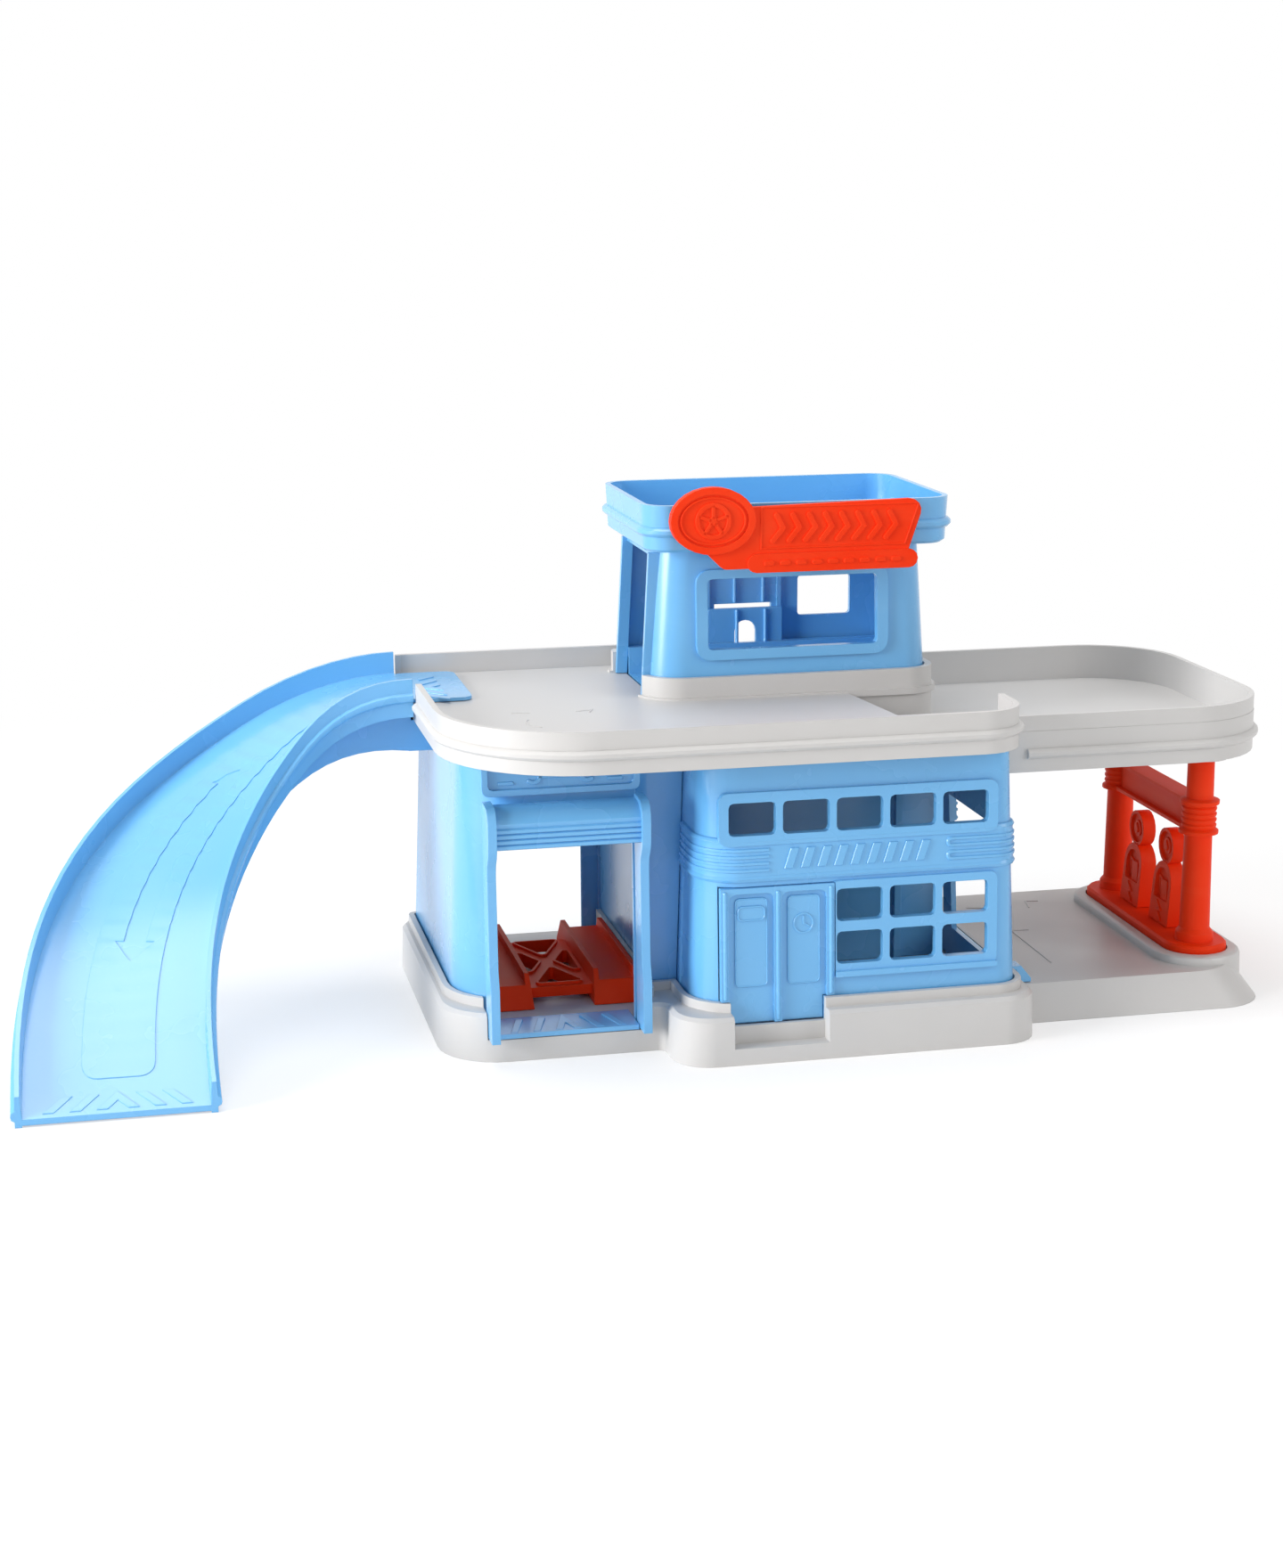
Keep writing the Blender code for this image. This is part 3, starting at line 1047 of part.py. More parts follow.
def fuel_frame():
    """Column frame of the fuel stop: oblong plate, two ringed columns and a flanged header beam."""
    plate = oblong(COLUMN_X, COLUMN_FRONT, COLUMN_BACK, PLATE_WIDTH)
    steps = ((0, ISLAND_TOP - PLATE_SINK + GAP), (0, PLATE_TOP - 1), (1, PLATE_TOP))
    sides = [[(p.x, p.y, z) for p in outline(plate, inset)] for inset, z in steps]
    part = new_object("fuel_frame", loft(sides), RED)
    r = COLUMN_RADIUS
    ring = r + RING_REACH
    low, high = BEAM_BOTTOM, BEAM_BOTTOM + BEAM_HEIGHT
    foot = PLATE_TOP
    shaft = [(r + 2.4, foot - 1), (r + 2.2, foot + 3.6), (r + 1.4, foot + 4.6), (r + 0.6, foot + 5.6)]
    shaft += [(r, low - 0.8), (ring, low - 0.4), (ring, low + 1.0), (r + 1.0, low + 2.0)]
    pitch = (BEAM_HEIGHT - 4) / RING_RIBS
    for k in range(RING_RIBS):
        z = low + 2.4 + pitch * k
        shaft += [(r + 1.6, z + 0.5), (r + 1.6, z + 1.3), (r + 0.9, z + 1.9)]
    shaft += [(ring, high - 1.0), (ring, high + 0.6), (r - 0.1, high + 1.2), (r - 0.3, LOWER_LIP + 3 - GAP)]
    for y in (COLUMN_FRONT, COLUMN_BACK):
        add(part, turned(COLUMN_X, y, shaft, 18))
    half, web = BEAM_WIDTH / 2, BEAM_WEB / 2
    under, over = low + BEAM_FLANGE, high - BEAM_FLANGE
    right = [(half, low), (half, under), (web, under), (web, over), (half, over), (half, high)]
    section = [(COLUMN_X + x, z) for x, z in right] + [(COLUMN_X - x, z) for x, z in right[::-1]]
    add(part, face_prism(section, COLUMN_FRONT + r * 0.5, COLUMN_BACK - r * 0.5))


def fuel_pump(name, y):
    """Round-topped pump with a plain globe; its dial and nozzle panel are sunk in the face."""
    foot = PLATE_TOP + GAP
    half = PUMP_WIDTH / 2
    arch = PUMP_TOP - half
    back = COLUMN_X + PUMP_BACK
    bow = half - 0.6
    outer = [(y - half, foot), (y + half, foot)]
    outer += [(y + bow * math.cos(a), arch + bow * math.sin(a))
              for a in (math.pi * k / 10 for k in range(11))]

    def front(z):
        return COLUMN_X - PUMP_FRONT + PUMP_LEAN * (z - foot) / (arch + half - foot)
    body = loft([[(front(z), a, z) for a, z in outer], [(back, a, z) for a, z in outer]])
    part = new_object(name, body, RED)
    globe_z = arch + half + PUMP_GLOBE - 1.6
    face = COLUMN_X - PUMP_FRONT + 2.6

    def disc(radius, x0, x1, steps=20):
        return side_prism(round_points(y, globe_z, 2 * radius, 2 * radius, steps), x0, x1)
    add(part, disc(PUMP_GLOBE, face, back - 0.3))
    cut(part, disc(PUMP_GLOBE - 1.5, face - 2, face + 1.3))
    add(part, disc(PUMP_GLOBE - 4.4, face + 0.5, face + 2, 12))
    wide = half - 3
    panel = outline([(y - wide, arch - 8, 1), (y + wide, arch - 8, 1), (y + wide, arch + 6.4, 6.5),
                     (y - wide, arch + 6.4, 6.5)])
    cut(part, side_prism(panel, face - 4, face + 0.7))
    add(part, box(face - 0.6, y - 4.2, arch - 8.6, face + 2, y + 2.2, arch + 1.2))


base_plinth()
forecourt_tray()
forecourt_clip()
bay_walls()
bay_door_frame()
bay_sill_plate()
service_rack()
station_walls()
station_doors()
shaft_front_panel()
shaft_rear_panel()
upper_deck()
tower_housing()
helipad_tray()
roof_sign()
elevator_platform()
elevator_back_plate()
car_ramp()
fuel_frame()
fuel_pump("fuel_pump_front", (COLUMN_FRONT + COLUMN_BACK - PUMP_SPACING) / 2)
fuel_pump("fuel_pump_rear", (COLUMN_FRONT + COLUMN_BACK + PUMP_SPACING) / 2)
print("objects:", len(PARTS.objects), "tools:", len(CUTTERS.objects))
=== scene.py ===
# %% [markdown]
# This lesson dresses a toy parking garage. The solids arrive already built at their real size,
# so nothing here is moved or resized. What is left to make is the look: moulded plastic with
# soft edges, the raised and sunk decoration, the light and the camera. Sizes are written in
# millimetres and multiplied by MM, because Blender counts in metres.

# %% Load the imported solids
import json
import math

import bpy
import bmesh
from mathutils import Matrix, Vector
from mathutils.bvhtree import BVHTree
from mathutils.geometry import tessellate_polygon


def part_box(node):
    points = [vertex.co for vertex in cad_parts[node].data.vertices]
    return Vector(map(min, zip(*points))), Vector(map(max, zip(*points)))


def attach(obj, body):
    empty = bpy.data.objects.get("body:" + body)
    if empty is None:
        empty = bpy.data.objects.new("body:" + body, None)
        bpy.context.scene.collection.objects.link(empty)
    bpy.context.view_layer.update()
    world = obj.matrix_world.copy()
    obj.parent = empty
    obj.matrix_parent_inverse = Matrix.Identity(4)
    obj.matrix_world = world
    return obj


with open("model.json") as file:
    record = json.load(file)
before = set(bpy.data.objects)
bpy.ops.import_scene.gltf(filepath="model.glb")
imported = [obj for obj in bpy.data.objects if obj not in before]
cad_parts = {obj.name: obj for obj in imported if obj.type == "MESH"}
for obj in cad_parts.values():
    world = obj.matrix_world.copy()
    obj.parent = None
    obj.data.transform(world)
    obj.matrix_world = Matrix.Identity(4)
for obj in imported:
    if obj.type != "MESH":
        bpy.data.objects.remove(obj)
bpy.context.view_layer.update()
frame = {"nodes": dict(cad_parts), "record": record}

MM = 0.001

# %% [markdown]
# The photograph was taken from a little to the left of the toy and a metre in front of it, so
# the camera looks slightly to the right and down. Its lens is long, which keeps the shape calm.
# A camera could be aimed with three Euler angles, but their order is easy to get wrong. Here its
# three directions are built from its turn, its tilt and its small roll, and each stays readable.

# %% Camera
CAMERA_AT = Vector((-236.5, -1077.9, 358.2)) * MM
CAMERA_TURN = 12.68
CAMERA_TILT = 13.04
CAMERA_ROLL = -0.23
CAMERA_SHIFT = (-0.0112, -0.0064)
FILM_HEIGHT = 36.0
LENS = 60.49


def camera_axes(turn, tilt, roll):
    """The camera's right, up and backward directions, from angles in degrees."""
    turn, tilt, roll = (math.radians(angle) for angle in (turn, tilt, roll))
    ahead = Vector((math.sin(turn), math.cos(turn), 0))
    right = Vector((math.cos(turn), -math.sin(turn), 0))
    up = Vector((0, 0, 1))
    aim = ahead * math.cos(tilt) - up * math.sin(tilt)
    up = up * math.cos(tilt) + ahead * math.sin(tilt)
    rolled_right = right * math.cos(roll) + up * math.sin(roll)
    rolled_up = up * math.cos(roll) - right * math.sin(roll)
    return rolled_right, rolled_up, -aim


lens = bpy.data.cameras.new("camera")
lens.sensor_fit = "VERTICAL"
lens.sensor_height = FILM_HEIGHT
lens.lens = LENS
lens.shift_x, lens.shift_y = CAMERA_SHIFT
camera = bpy.data.objects.new("camera", lens)
bpy.context.scene.collection.objects.link(camera)
columns = camera_axes(CAMERA_TURN, CAMERA_TILT, CAMERA_ROLL)
camera.matrix_world = Matrix.Translation(CAMERA_AT) @ Matrix(columns).transposed().to_4x4()
bpy.context.scene.camera = camera
bpy.context.scene.view_settings.view_transform = "Standard"
print("camera height in mm:", round(CAMERA_AT.z / MM))

# %% [markdown]
# Colours are written as sRGB hex, the way a paint chart gives them, and one function turns them
# into the linear light that the renderer works in. Every shader below is a small web of nodes. It
# could be wired line by line, but one function that adds a node, sets it and links it lets a web
# read as a list of steps.

# %% Colours, and the one function that adds a node
def linear(code):
    """sRGB hex to linear light."""
    channels = [int(code[i:i + 2], 16) / 255 for i in (1, 3, 5)]
    return [c / 12.92 if c <= 0.04045 else ((c + 0.055) / 1.055) ** 2.4 for c in channels] + [1.0]


def node(tree, kind, links=None, **settings):
    """Add a node. Settings are its properties or input values; links go into its inputs."""
    made = tree.nodes.new(kind if "Node" in kind else "ShaderNode" + kind)
    for key, value in settings.items():
        if hasattr(made, key):
            setattr(made, key, value)
        else:
            made.inputs[key.replace("_", " ")].default_value = value
    for key, source in (links or {}).items():
        tree.links.new(source, made.inputs[key])
    return made


print("half of full white, as linear light:", round(linear("#808080")[0], 3))

# %% [markdown]
# The toy was lit from the left, so its left sides and tops are bright, its fronts a step darker
# and its insides deep. A broad low lamp on the left gives that, one overhead lights the decks, a
# weak one on the right opens the far side, and the world fills in evenly. The white background
# could come from a stronger world, but that would bleach the plastic. Instead the world looks
# white only to a ray from the camera, a reflection or glass, and lights the toy gently.

# %% Light
WORLD_FILL = 0.46
WHITE = linear("#FFFFFF")
TOY_MIDDLE = Vector((0, 0, 0.1))
LAMPS = {"left_lamp": ((-2.0, -0.5, 0.6), 1.1, 46), "right_lamp": ((1.6, -1.2, 0.95), 1.2, 10),
         "top_lamp": ((-0.2, 0.2, 2.0), 1.2, 17)}  # place and size in metres, power in watts


def soft_lamp(name, place, size, power):
    """A round studio lamp, aimed at the toy."""
    light = bpy.data.lights.new(name, "AREA")
    light.shape = "DISK"
    light.size = size
    light.energy = power
    lamp = bpy.data.objects.new(name, light)
    bpy.context.scene.collection.objects.link(lamp)
    lamp.location = place
    lamp.rotation_mode = "QUATERNION"
    lamp.rotation_quaternion = (TOY_MIDDLE - Vector(place)).to_track_quat("-Z", "Y")


def seen_directly(tree):
    """1 for a ray from the camera, a reflection or glass, and 0 for a ray that only carries light."""
    rays = node(tree, "LightPath")
    seen = rays.outputs["Is Camera Ray"]
    for kind in ("Is Glossy Ray", "Is Transmission Ray"):
        seen = node(tree, "Math", {0: seen, 1: rays.outputs[kind]}, operation="MAXIMUM").outputs[0]
    return seen


for name, (place, size, power) in LAMPS.items():
    soft_lamp(name, place, size, power)

world = bpy.data.worlds.new("white_studio")
bpy.context.scene.world = world
world.use_nodes = True
sky = world.node_tree
sky.nodes.clear()
fill = node(sky, "Background", Color=WHITE, Strength=WORLD_FILL)
paper = node(sky, "Background", Color=WHITE, Strength=1.0)
mixed = node(sky, "MixShader", {0: seen_directly(sky), 1: fill.outputs[0], 2: paper.outputs[0]})
node(sky, "OutputWorld", {"Surface": mixed.outputs[0]})

# %% [markdown]
# The toy stands on seamless white paper that runs up behind it. A bent sheet could be modelled,
# but it would show from behind. A flat one does the same here. Near the toy it is matt and keeps
# the soft shadow, and to the camera it also glows a little, which keeps that shadow as faint as on
# a well lit sheet. Further out it turns into the white of the background, so no horizon shows.

# %% Floor
FLOOR_SIZE = 8.0
SWEEP_FROM, SWEEP_TO = 0.35, 0.75
PAPER_GLOW = 0.52
mesh = bpy.data.meshes.new("paper_floor")
corner = FLOOR_SIZE / 2
mesh.from_pydata([(-corner, -corner, 0), (corner, -corner, 0), (corner, corner, 0), (-corner, corner, 0)],
                 [], [(0, 1, 2, 3)])
floor = bpy.data.objects.new("paper_floor", mesh)
bpy.context.scene.collection.objects.link(floor)
paper_stuff = bpy.data.materials.new("matt_white_paper")
paper_stuff.use_nodes = True
tree = paper_stuff.node_tree
tree.nodes.clear()
spread = node(tree, "VectorMath", {0: node(tree, "TexCoord").outputs["Object"]}, operation="LENGTH")
far = node(tree, "MapRange", {"Value": spread.outputs["Value"]}, interpolation_type="SMOOTHSTEP",
           From_Min=SWEEP_FROM, From_Max=SWEEP_TO)
matt = node(tree, "BsdfDiffuse", Color=linear("#F4F4F4"))
glow = node(tree, "Emission", Color=WHITE, Strength=PAPER_GLOW)
white = node(tree, "Emission", Color=WHITE, Strength=1.0)
shown = node(tree, "BsdfDiffuse", Color=linear("#BCBCBC"))
near = node(tree, "AddShader", {0: shown.outputs[0], 1: glow.outputs[0]})
sweep = node(tree, "MixShader", {0: far.outputs[0], 1: near.outputs[0], 2: white.outputs[0]})
sheet = node(tree, "MixShader", {0: seen_directly(tree), 1: matt.outputs[0], 2: sweep.outputs[0]})
node(tree, "OutputMaterial", {"Surface": sheet.outputs[0]})
floor.data.materials.append(paper_stuff)
print("floor in metres:", FLOOR_SIZE, "turning white from", SWEEP_FROM, "to", SWEEP_TO)

# %% [markdown]
# The toy is recycled HDPE, injection moulded and left as it comes out of the mould. That gives the
# eye a satin, slightly waxy surface: broad soft highlights, a faint orange peel from the cooling
# skin, fine upright lines where the tool was polished along its pull, edges rounded by the mould,
# and pale specks and cloudy flow marks from the recycled flakes.
# HDPE lets a little light in, so thin rims glow slightly. Its IOR is about 1.54.
# The edge rounding is under half a millimetre. It could be cut into the mesh, but the solids stay
# as they are, so the shader's bevel rounds the normals near an edge instead. The same bevel finds
# the edges that handling has rubbed paler. Each kind of mark has three numbers: the value of its
# pattern where the mark starts, the value where it is full, and how pale it then is. The same
# clouds also make the roughness a little patchy, so that a highlight breaks up as on real plastic.

# %% Moulded HDPE
HDPE_IOR = 1.54
EDGE_ROUNDING = 0.35 * MM
PEEL_SIZE = 4.0 * MM
PEEL_DEPTH = 0.008 * MM
LINE_SIZE = 1.3 * MM  # the real tool lines are finer; these are the finest that show
LINE_STRETCH = (1.0, 1.0, 0.03)
LINE_DEPTH = 0.012 * MM
CLOUD_SIZE = 38.0 * MM
FLOW_SIZE = CLOUD_SIZE / 1.8
FLOW_STRETCH = (0.35, 0.35, 1.6)
SPECK_SIZE = 1.3 * MM
SPECK_MARKS, CLOUD_MARKS, FLOW_MARKS = (0.66, 0.8, 0.25), (0.35, 0.7, 0.22), (0.5, 0.75, 0.2)
RUBBED_EDGES = (0.995, 0.8, 0.45)
PATCHINESS, PATCH_FROM, PATCH_TO = 0.05, 0.3, 0.7
COAT_ROUGHNESS = 0.18
WAX_DEPTH = 1.2 * MM


def moulded_hdpe(name, code, pale, rough, waxy, shine=0.5, coat=0.0):
    """Satin moulded HDPE: code is its colour as moulded, pale that of rubbed or clouded spots."""
    made = bpy.data.materials.new(name)
    made.use_nodes = True
    tree = made.node_tree
    shader = tree.nodes["Principled BSDF"]
    sockets = {"IOR": HDPE_IOR, "Metallic": 0.0, "Specular IOR Level": shine, "Coat Weight": coat,
               "Coat Roughness": COAT_ROUGHNESS, "Subsurface Weight": waxy,
               "Subsurface Radius": (1.0, 1.0, 1.0), "Subsurface Scale": WAX_DEPTH}
    for socket, value in sockets.items():
        shader.inputs[socket].default_value = value
    place = node(tree, "TexCoord").outputs["Object"]
    cloud = node(tree, "TexNoise", {"Vector": place}, Scale=1 / CLOUD_SIZE, Detail=3.0, Roughness=0.55)
    drawn = node(tree, "Mapping", {"Vector": place}, Scale=FLOW_STRETCH)
    flow = node(tree, "TexNoise", {"Vector": drawn.outputs[0]}, Scale=1 / FLOW_SIZE, Detail=4.0,
                Distortion=0.6)
    speck = node(tree, "TexNoise", {"Vector": place}, Scale=1 / SPECK_SIZE, Detail=1.0)
    rounded = node(tree, "Bevel", Radius=EDGE_ROUNDING)
    flat = node(tree, "NewGeometry")
    facing = node(tree, "VectorMath", {0: rounded.outputs[0], 1: flat.outputs["Normal"]},
                  operation="DOT_PRODUCT")
    patterns = ((speck.outputs["Fac"], SPECK_MARKS), (cloud.outputs["Fac"], CLOUD_MARKS),
                (flow.outputs["Fac"], FLOW_MARKS), (facing.outputs["Value"], RUBBED_EDGES))
    kinds = [node(tree, "MapRange", {"Value": pattern}, From_Min=start, From_Max=full, To_Max=share)
             for pattern, (start, full, share) in patterns]
    marks = kinds[0]
    for other in kinds[1:]:
        marks = node(tree, "Math", {0: marks.outputs[0], 1: other.outputs[0]}, operation="MAXIMUM")
    tint = node(tree, "Mix", {0: marks.outputs[0]}, data_type="RGBA")
    tint.inputs[6].default_value = linear(code)
    tint.inputs[7].default_value = linear(pale)
    tree.links.new(tint.outputs[2], shader.inputs["Base Color"])
    patchy = node(tree, "MapRange", {"Value": cloud.outputs["Fac"]}, From_Min=PATCH_FROM,
                  From_Max=PATCH_TO, To_Min=rough - PATCHINESS, To_Max=rough + PATCHINESS)
    tree.links.new(patchy.outputs[0], shader.inputs["Roughness"])
    peel = node(tree, "TexNoise", {"Vector": place}, Scale=1 / PEEL_SIZE, Detail=1.0)
    pulled = node(tree, "Mapping", {"Vector": place}, Scale=LINE_STRETCH)
    lines = node(tree, "TexNoise", {"Vector": pulled.outputs[0]}, Scale=1 / LINE_SIZE, Detail=0.0)
    waves = node(tree, "Bump", {"Height": peel.outputs["Fac"], "Normal": rounded.outputs[0]},
                 Distance=PEEL_DEPTH)
    skin = node(tree, "Bump", {"Height": lines.outputs["Fac"], "Normal": waves.outputs[0]},
                Distance=LINE_DEPTH)
    tree.links.new(skin.outputs[0], shader.inputs["Normal"])
    return made


sky_blue = moulded_hdpe("sky_blue_moulded_hdpe", "#6CB4E8", "#7FC0EE", rough=0.26, waxy=0.08, coat=0.3)
stone_grey = moulded_hdpe("stone_grey_moulded_hdpe", "#CBC9C7", "#D6D5D4", rough=0.4, waxy=0.05)
orange_red = moulded_hdpe("orange_red_moulded_hdpe", "#F53200", "#F9633A", rough=0.5, waxy=0.1, shine=0.12)
print("plastics:", sky_blue.name, stone_grey.name, orange_red.name)

# %% [markdown]
# The moulded walls are round at their corners and flat between them, and they should look smooth
# there and crisp at real edges. Shading could be set on the mesh, but the solids' meshes stay
# untouched. A small geometry node group does it instead: it welds the facets, shades them smooth,
# and marks edges that turn by more than a set angle as sharp. A weighted normal keeps flats flat.

# %% Smooth walls, sharp corners
SMOOTH_ANGLE = 34.0
WELD = 0.002 * MM


def smoothing_group():
    """Node group that shades a piece smooth and keeps its real edges sharp."""
    group = bpy.data.node_groups.new("smooth_walls_sharp_corners", "GeometryNodeTree")
    group.interface.new_socket("Geometry", in_out="INPUT", socket_type="NodeSocketGeometry")
    group.interface.new_socket("Geometry", in_out="OUTPUT", socket_type="NodeSocketGeometry")
    start = node(group, "NodeGroupInput")
    weld = node(group, "GeometryNodeMergeByDistance", {"Geometry": start.outputs[0]}, Distance=WELD)
    faces = node(group, "GeometryNodeSetShadeSmooth", {"Geometry": weld.outputs[0]},
                 domain="FACE", Shade_Smooth=True)
    turn = node(group, "GeometryNodeInputMeshEdgeAngle")
    sharp = node(group, "FunctionNodeCompare", {0: turn.outputs["Unsigned Angle"]},
                 operation="GREATER_THAN")
    sharp.inputs[1].default_value = math.radians(SMOOTH_ANGLE)
    edges = node(group, "GeometryNodeSetShadeSmooth",
                 {"Geometry": faces.outputs[0], "Selection": sharp.outputs[0]},
                 domain="EDGE", Shade_Smooth=False)
    node(group, "NodeGroupOutput", {0: edges.outputs[0]})
    return group


smoothing = smoothing_group()


def smooth(piece):
    """Add the two smoothing modifiers; the mesh itself stays as it is."""
    step = piece.modifiers.new("smooth_walls", "NODES")
    step.node_group = smoothing
    flats = piece.modifiers.new("flats_stay_flat", "WEIGHTED_NORMAL")
    flats.keep_sharp = True


print("edges stay sharp above degrees:", SMOOTH_ANGLE)

# %% [markdown]
# The shells are sky blue, the base and deck stone grey, and the sign, the rack and the fuel stop
# orange red. Each solid takes its plastic from the slot that the record gives it, rather than from
# a list of names here, so that the look and the record can't drift apart.

# %% Plastics on the solids
PLASTICS = {"shell_blue": sky_blue, "base_grey": stone_grey, "trim_red": orange_red}
slots = {row["node"]: row["material_slot"] for row in frame["record"]["subparts"]}

for name in sorted(frame["nodes"]):
    solid = frame["nodes"][name]
    solid.data.materials.clear()
    solid.data.materials.append(PLASTICS[slots[name]])
    for face in solid.data.polygons:
        face.material_index = 0
    smooth(solid)
print("dressed:", len(frame["nodes"]))

# %% [markdown]
# The decoration on such a toy is low relief: shapes half a millimetre high, cut into the mould.
# A bump texture could fake it, but it would vanish at the rim and leave the mesh bare.
# Each is drawn as a flat outline in millimetres instead, raised into a closed body with a small
# chamfer, and laid on its surface. These helpers draw the outlines: a box with round corners, an
# oval, an arc and a line with round ends. They run anticlockwise, and a hole runs the other way.
# At a sharp bend an outline's corner would shoot far out, so the two limits below cap its reach.

# %% Flat outlines
STROKE_LIMIT, CORNER_LIMIT = 0.5, 0.4


def round_box(left, right, low, high, radius, steps=5):
    """Box with round corners."""
    points = []
    corners = ((right - radius, low + radius), (right - radius, high - radius),
               (left + radius, high - radius), (left + radius, low + radius))
    for quarter, (x, y) in enumerate(corners):
        for k in range(steps + 1):
            turn = math.radians(90 * (quarter - 1 + k / steps))
            points.append((x + radius * math.cos(turn), y + radius * math.sin(turn)))
    return points


def oval(x, y, wide, high, steps=40):
    """Oval, from its middle and its whole width and height."""
    turns = [2 * math.pi * k / steps for k in range(steps)]
    return [(x + wide / 2 * math.cos(t), y + high / 2 * math.sin(t)) for t in turns]


def arc(x, y, radius, start, end, steps=12):
    """Points of an open arc, from start to end in degrees."""
    turns = [math.radians(start + (end - start) * k / steps) for k in range(steps + 1)]
    return [(x + radius * math.cos(t), y + radius * math.sin(t)) for t in turns]


def stroke(points, width, steps=6):
    """Outline of a line with round ends."""
    points = [Vector(p) for p in points]
    half = width / 2
    ways = [(b - a).normalized() for a, b in zip(points, points[1:])]
    rows = list(range(len(points)))
    drawn = []
    for side, order, end, facing in ((-1, rows, points[-1], ways[-1]),
                                     (1, rows[::-1], points[0], -ways[0])):
        for k in order:
            before, after = ways[max(k - 1, 0)], ways[min(k, len(ways) - 1)]
            middle = (before + after).normalized()
            reach = half / max(before.dot(middle), STROKE_LIMIT)
            drawn.append(points[k] + Vector((-middle.y, middle.x)) * side * reach)
        turn = math.atan2(facing.y, facing.x)
        for k in range(1, steps):
            angle = turn + math.pi * (k / steps - 0.5)
            drawn.append(end + Vector((math.cos(angle), math.sin(angle))) * half)
    return [tuple(p) for p in drawn]


def drawn_in(loop, depth):
    """The outline moved inwards by depth, or a hole's outline moved outwards."""
    moved = []
    for k, here in enumerate(loop):
        here = Vector(here)
        before = (here - Vector(loop[k - 1])).normalized()
        after = (Vector(loop[(k + 1) % len(loop)]) - here).normalized()
        edge = Vector((-before.y, before.x))
        left = Vector((-before.y - after.y, before.x + after.x))
        left = left.normalized() if left.length > 1e-5 else edge
        moved.append(here + left * (depth / max(left.dot(edge), CORNER_LIMIT)))
    return moved


def anticlockwise(loop):
    """The outline, turned round if it runs clockwise."""
    area = sum(a[0] * b[1] - b[0] * a[1] for a, b in zip(loop, loop[1:] + loop[:1]))
    return loop if area > 0 else loop[::-1]


def ring(outer, width):
    """An outline with the same outline, drawn in by width, as its hole."""
    return [outer, [tuple(p) for p in drawn_in(outer, width)][::-1]]


print("outlines ready, a sample has", len(stroke([(0, 0), (4, 0)], 1.0)), "points")

# %% [markdown]
# A relief could be modelled in place, but on a leaning or curved surface every point is then hard
# to find. It is built flat and only then bent into place, because a flat body is easy to cut. On
# the curved ramp it is cut at even steps, and every point then moves to its place on the curve.
# Its foot goes a little into the surface, so no gap can show. Each piece then rides on one of the
# toy's two bodies, the garage or the lift, and moves where that body moves.

# %% Raise an outline and lay it on its surface
SINK = 0.3
CHAMFER = 0.2


def rise(made, loops, height, chamfer):
    """Add a closed body over the loops to a bmesh, in flat millimetres."""
    rows = []
    for up, depth in ((-SINK, 0.0), (height - chamfer, 0.0), (height, chamfer)):
        rows.append([[made.verts.new((p[0], p[1], up)) for p in drawn_in(loop, depth)] for loop in loops])
    for low, high in zip(rows, rows[1:]):
        for under, over in zip(low, high):
            for k in range(len(under)):
                made.faces.new((under[k - 1], under[k], over[k], over[k - 1]))
    for row in (rows[0], rows[-1]):
        flat = [vert for loop in row for vert in loop]
        for corners in tessellate_polygon([[vert.co for vert in loop] for loop in row]):
            made.faces.new([flat[k] for k in corners])


def relief(name, shapes, lay, slot, height=0.5, chamfer=CHAMFER, cuts=(), body="garage"):
    """Raise the shapes, cut them at cuts, lay them on their surface, and dress the piece."""
    made = bmesh.new()
    for loops in shapes:
        rise(made, loops if isinstance(loops[0], list) else [loops], height, chamfer)
    for place, across in cuts:
        whole = made.verts[:] + made.edges[:] + made.faces[:]
        bmesh.ops.bisect_plane(made, geom=whole, plane_co=place, plane_no=across)
    for vert in made.verts:
        vert.co = lay(*vert.co)
    bmesh.ops.recalc_face_normals(made, faces=made.faces)
    mesh = bpy.data.meshes.new(name)
    made.to_mesh(mesh)
    made.free()
    piece = bpy.data.objects.new(name, mesh)
    bpy.context.scene.collection.objects.link(piece)
    piece.data.materials.append(PLASTICS[slot])
    smooth(piece)
    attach(piece, body)
    print(name, "faces:", len(mesh.polygons))


print("a relief reaches into its surface by mm:", SINK)

# %% [markdown]
# The walls under the deck lean in slightly, as a moulding must to leave its tool, so a relief on
# them leans too. Decks are level, the sign is upright, and the pumps face the lane. Objects could
# be turned to lie on each, but then every one has its own axes. Here one small function for each
# surface turns flat millimetres u, v and height w straight into a place on the toy.

# %% Surfaces to lay a relief on
WALL_LEAN = 5.0 / 120.1
WALL_FOOT = 10.3


def on_wall(front):
    """A leaning wall whose front face stands at y = front at its foot."""
    return lambda u, v, w: Vector((u, front + WALL_LEAN * (v - WALL_FOOT) - w, v)) * MM


def upright(front):
    """A plumb face at y = front, seen from the front."""
    return lambda u, v, w: Vector((u, front - w, v)) * MM


def level(height):
    """A level face at the given height, seen from above."""
    return lambda u, v, w: Vector((u, v, height + w)) * MM


def facing_lane(foot, lean=0.0, start=0.0):
    """A pump's face, seen from the lane on its left; u runs to the back, v up."""
    return lambda u, v, w: Vector((foot + lean * (v - start) - w, u, v)) * MM


print("lean of the walls in degrees:", round(math.degrees(math.atan(WALL_LEAN)), 2))

# %% [markdown]
# The roof sign is a medallion, a slanted banner and a lower strip, moulded as one orange-red plate.
# Its decoration is generic and drawn from strokes and rings: a thin rim and a plain road wheel in
# the medallion, a border and a row of chevrons on the banner, and dashes like a lane line on the
# strip. Strokes were chosen because their width and round ends match a cutter's path in a mould.

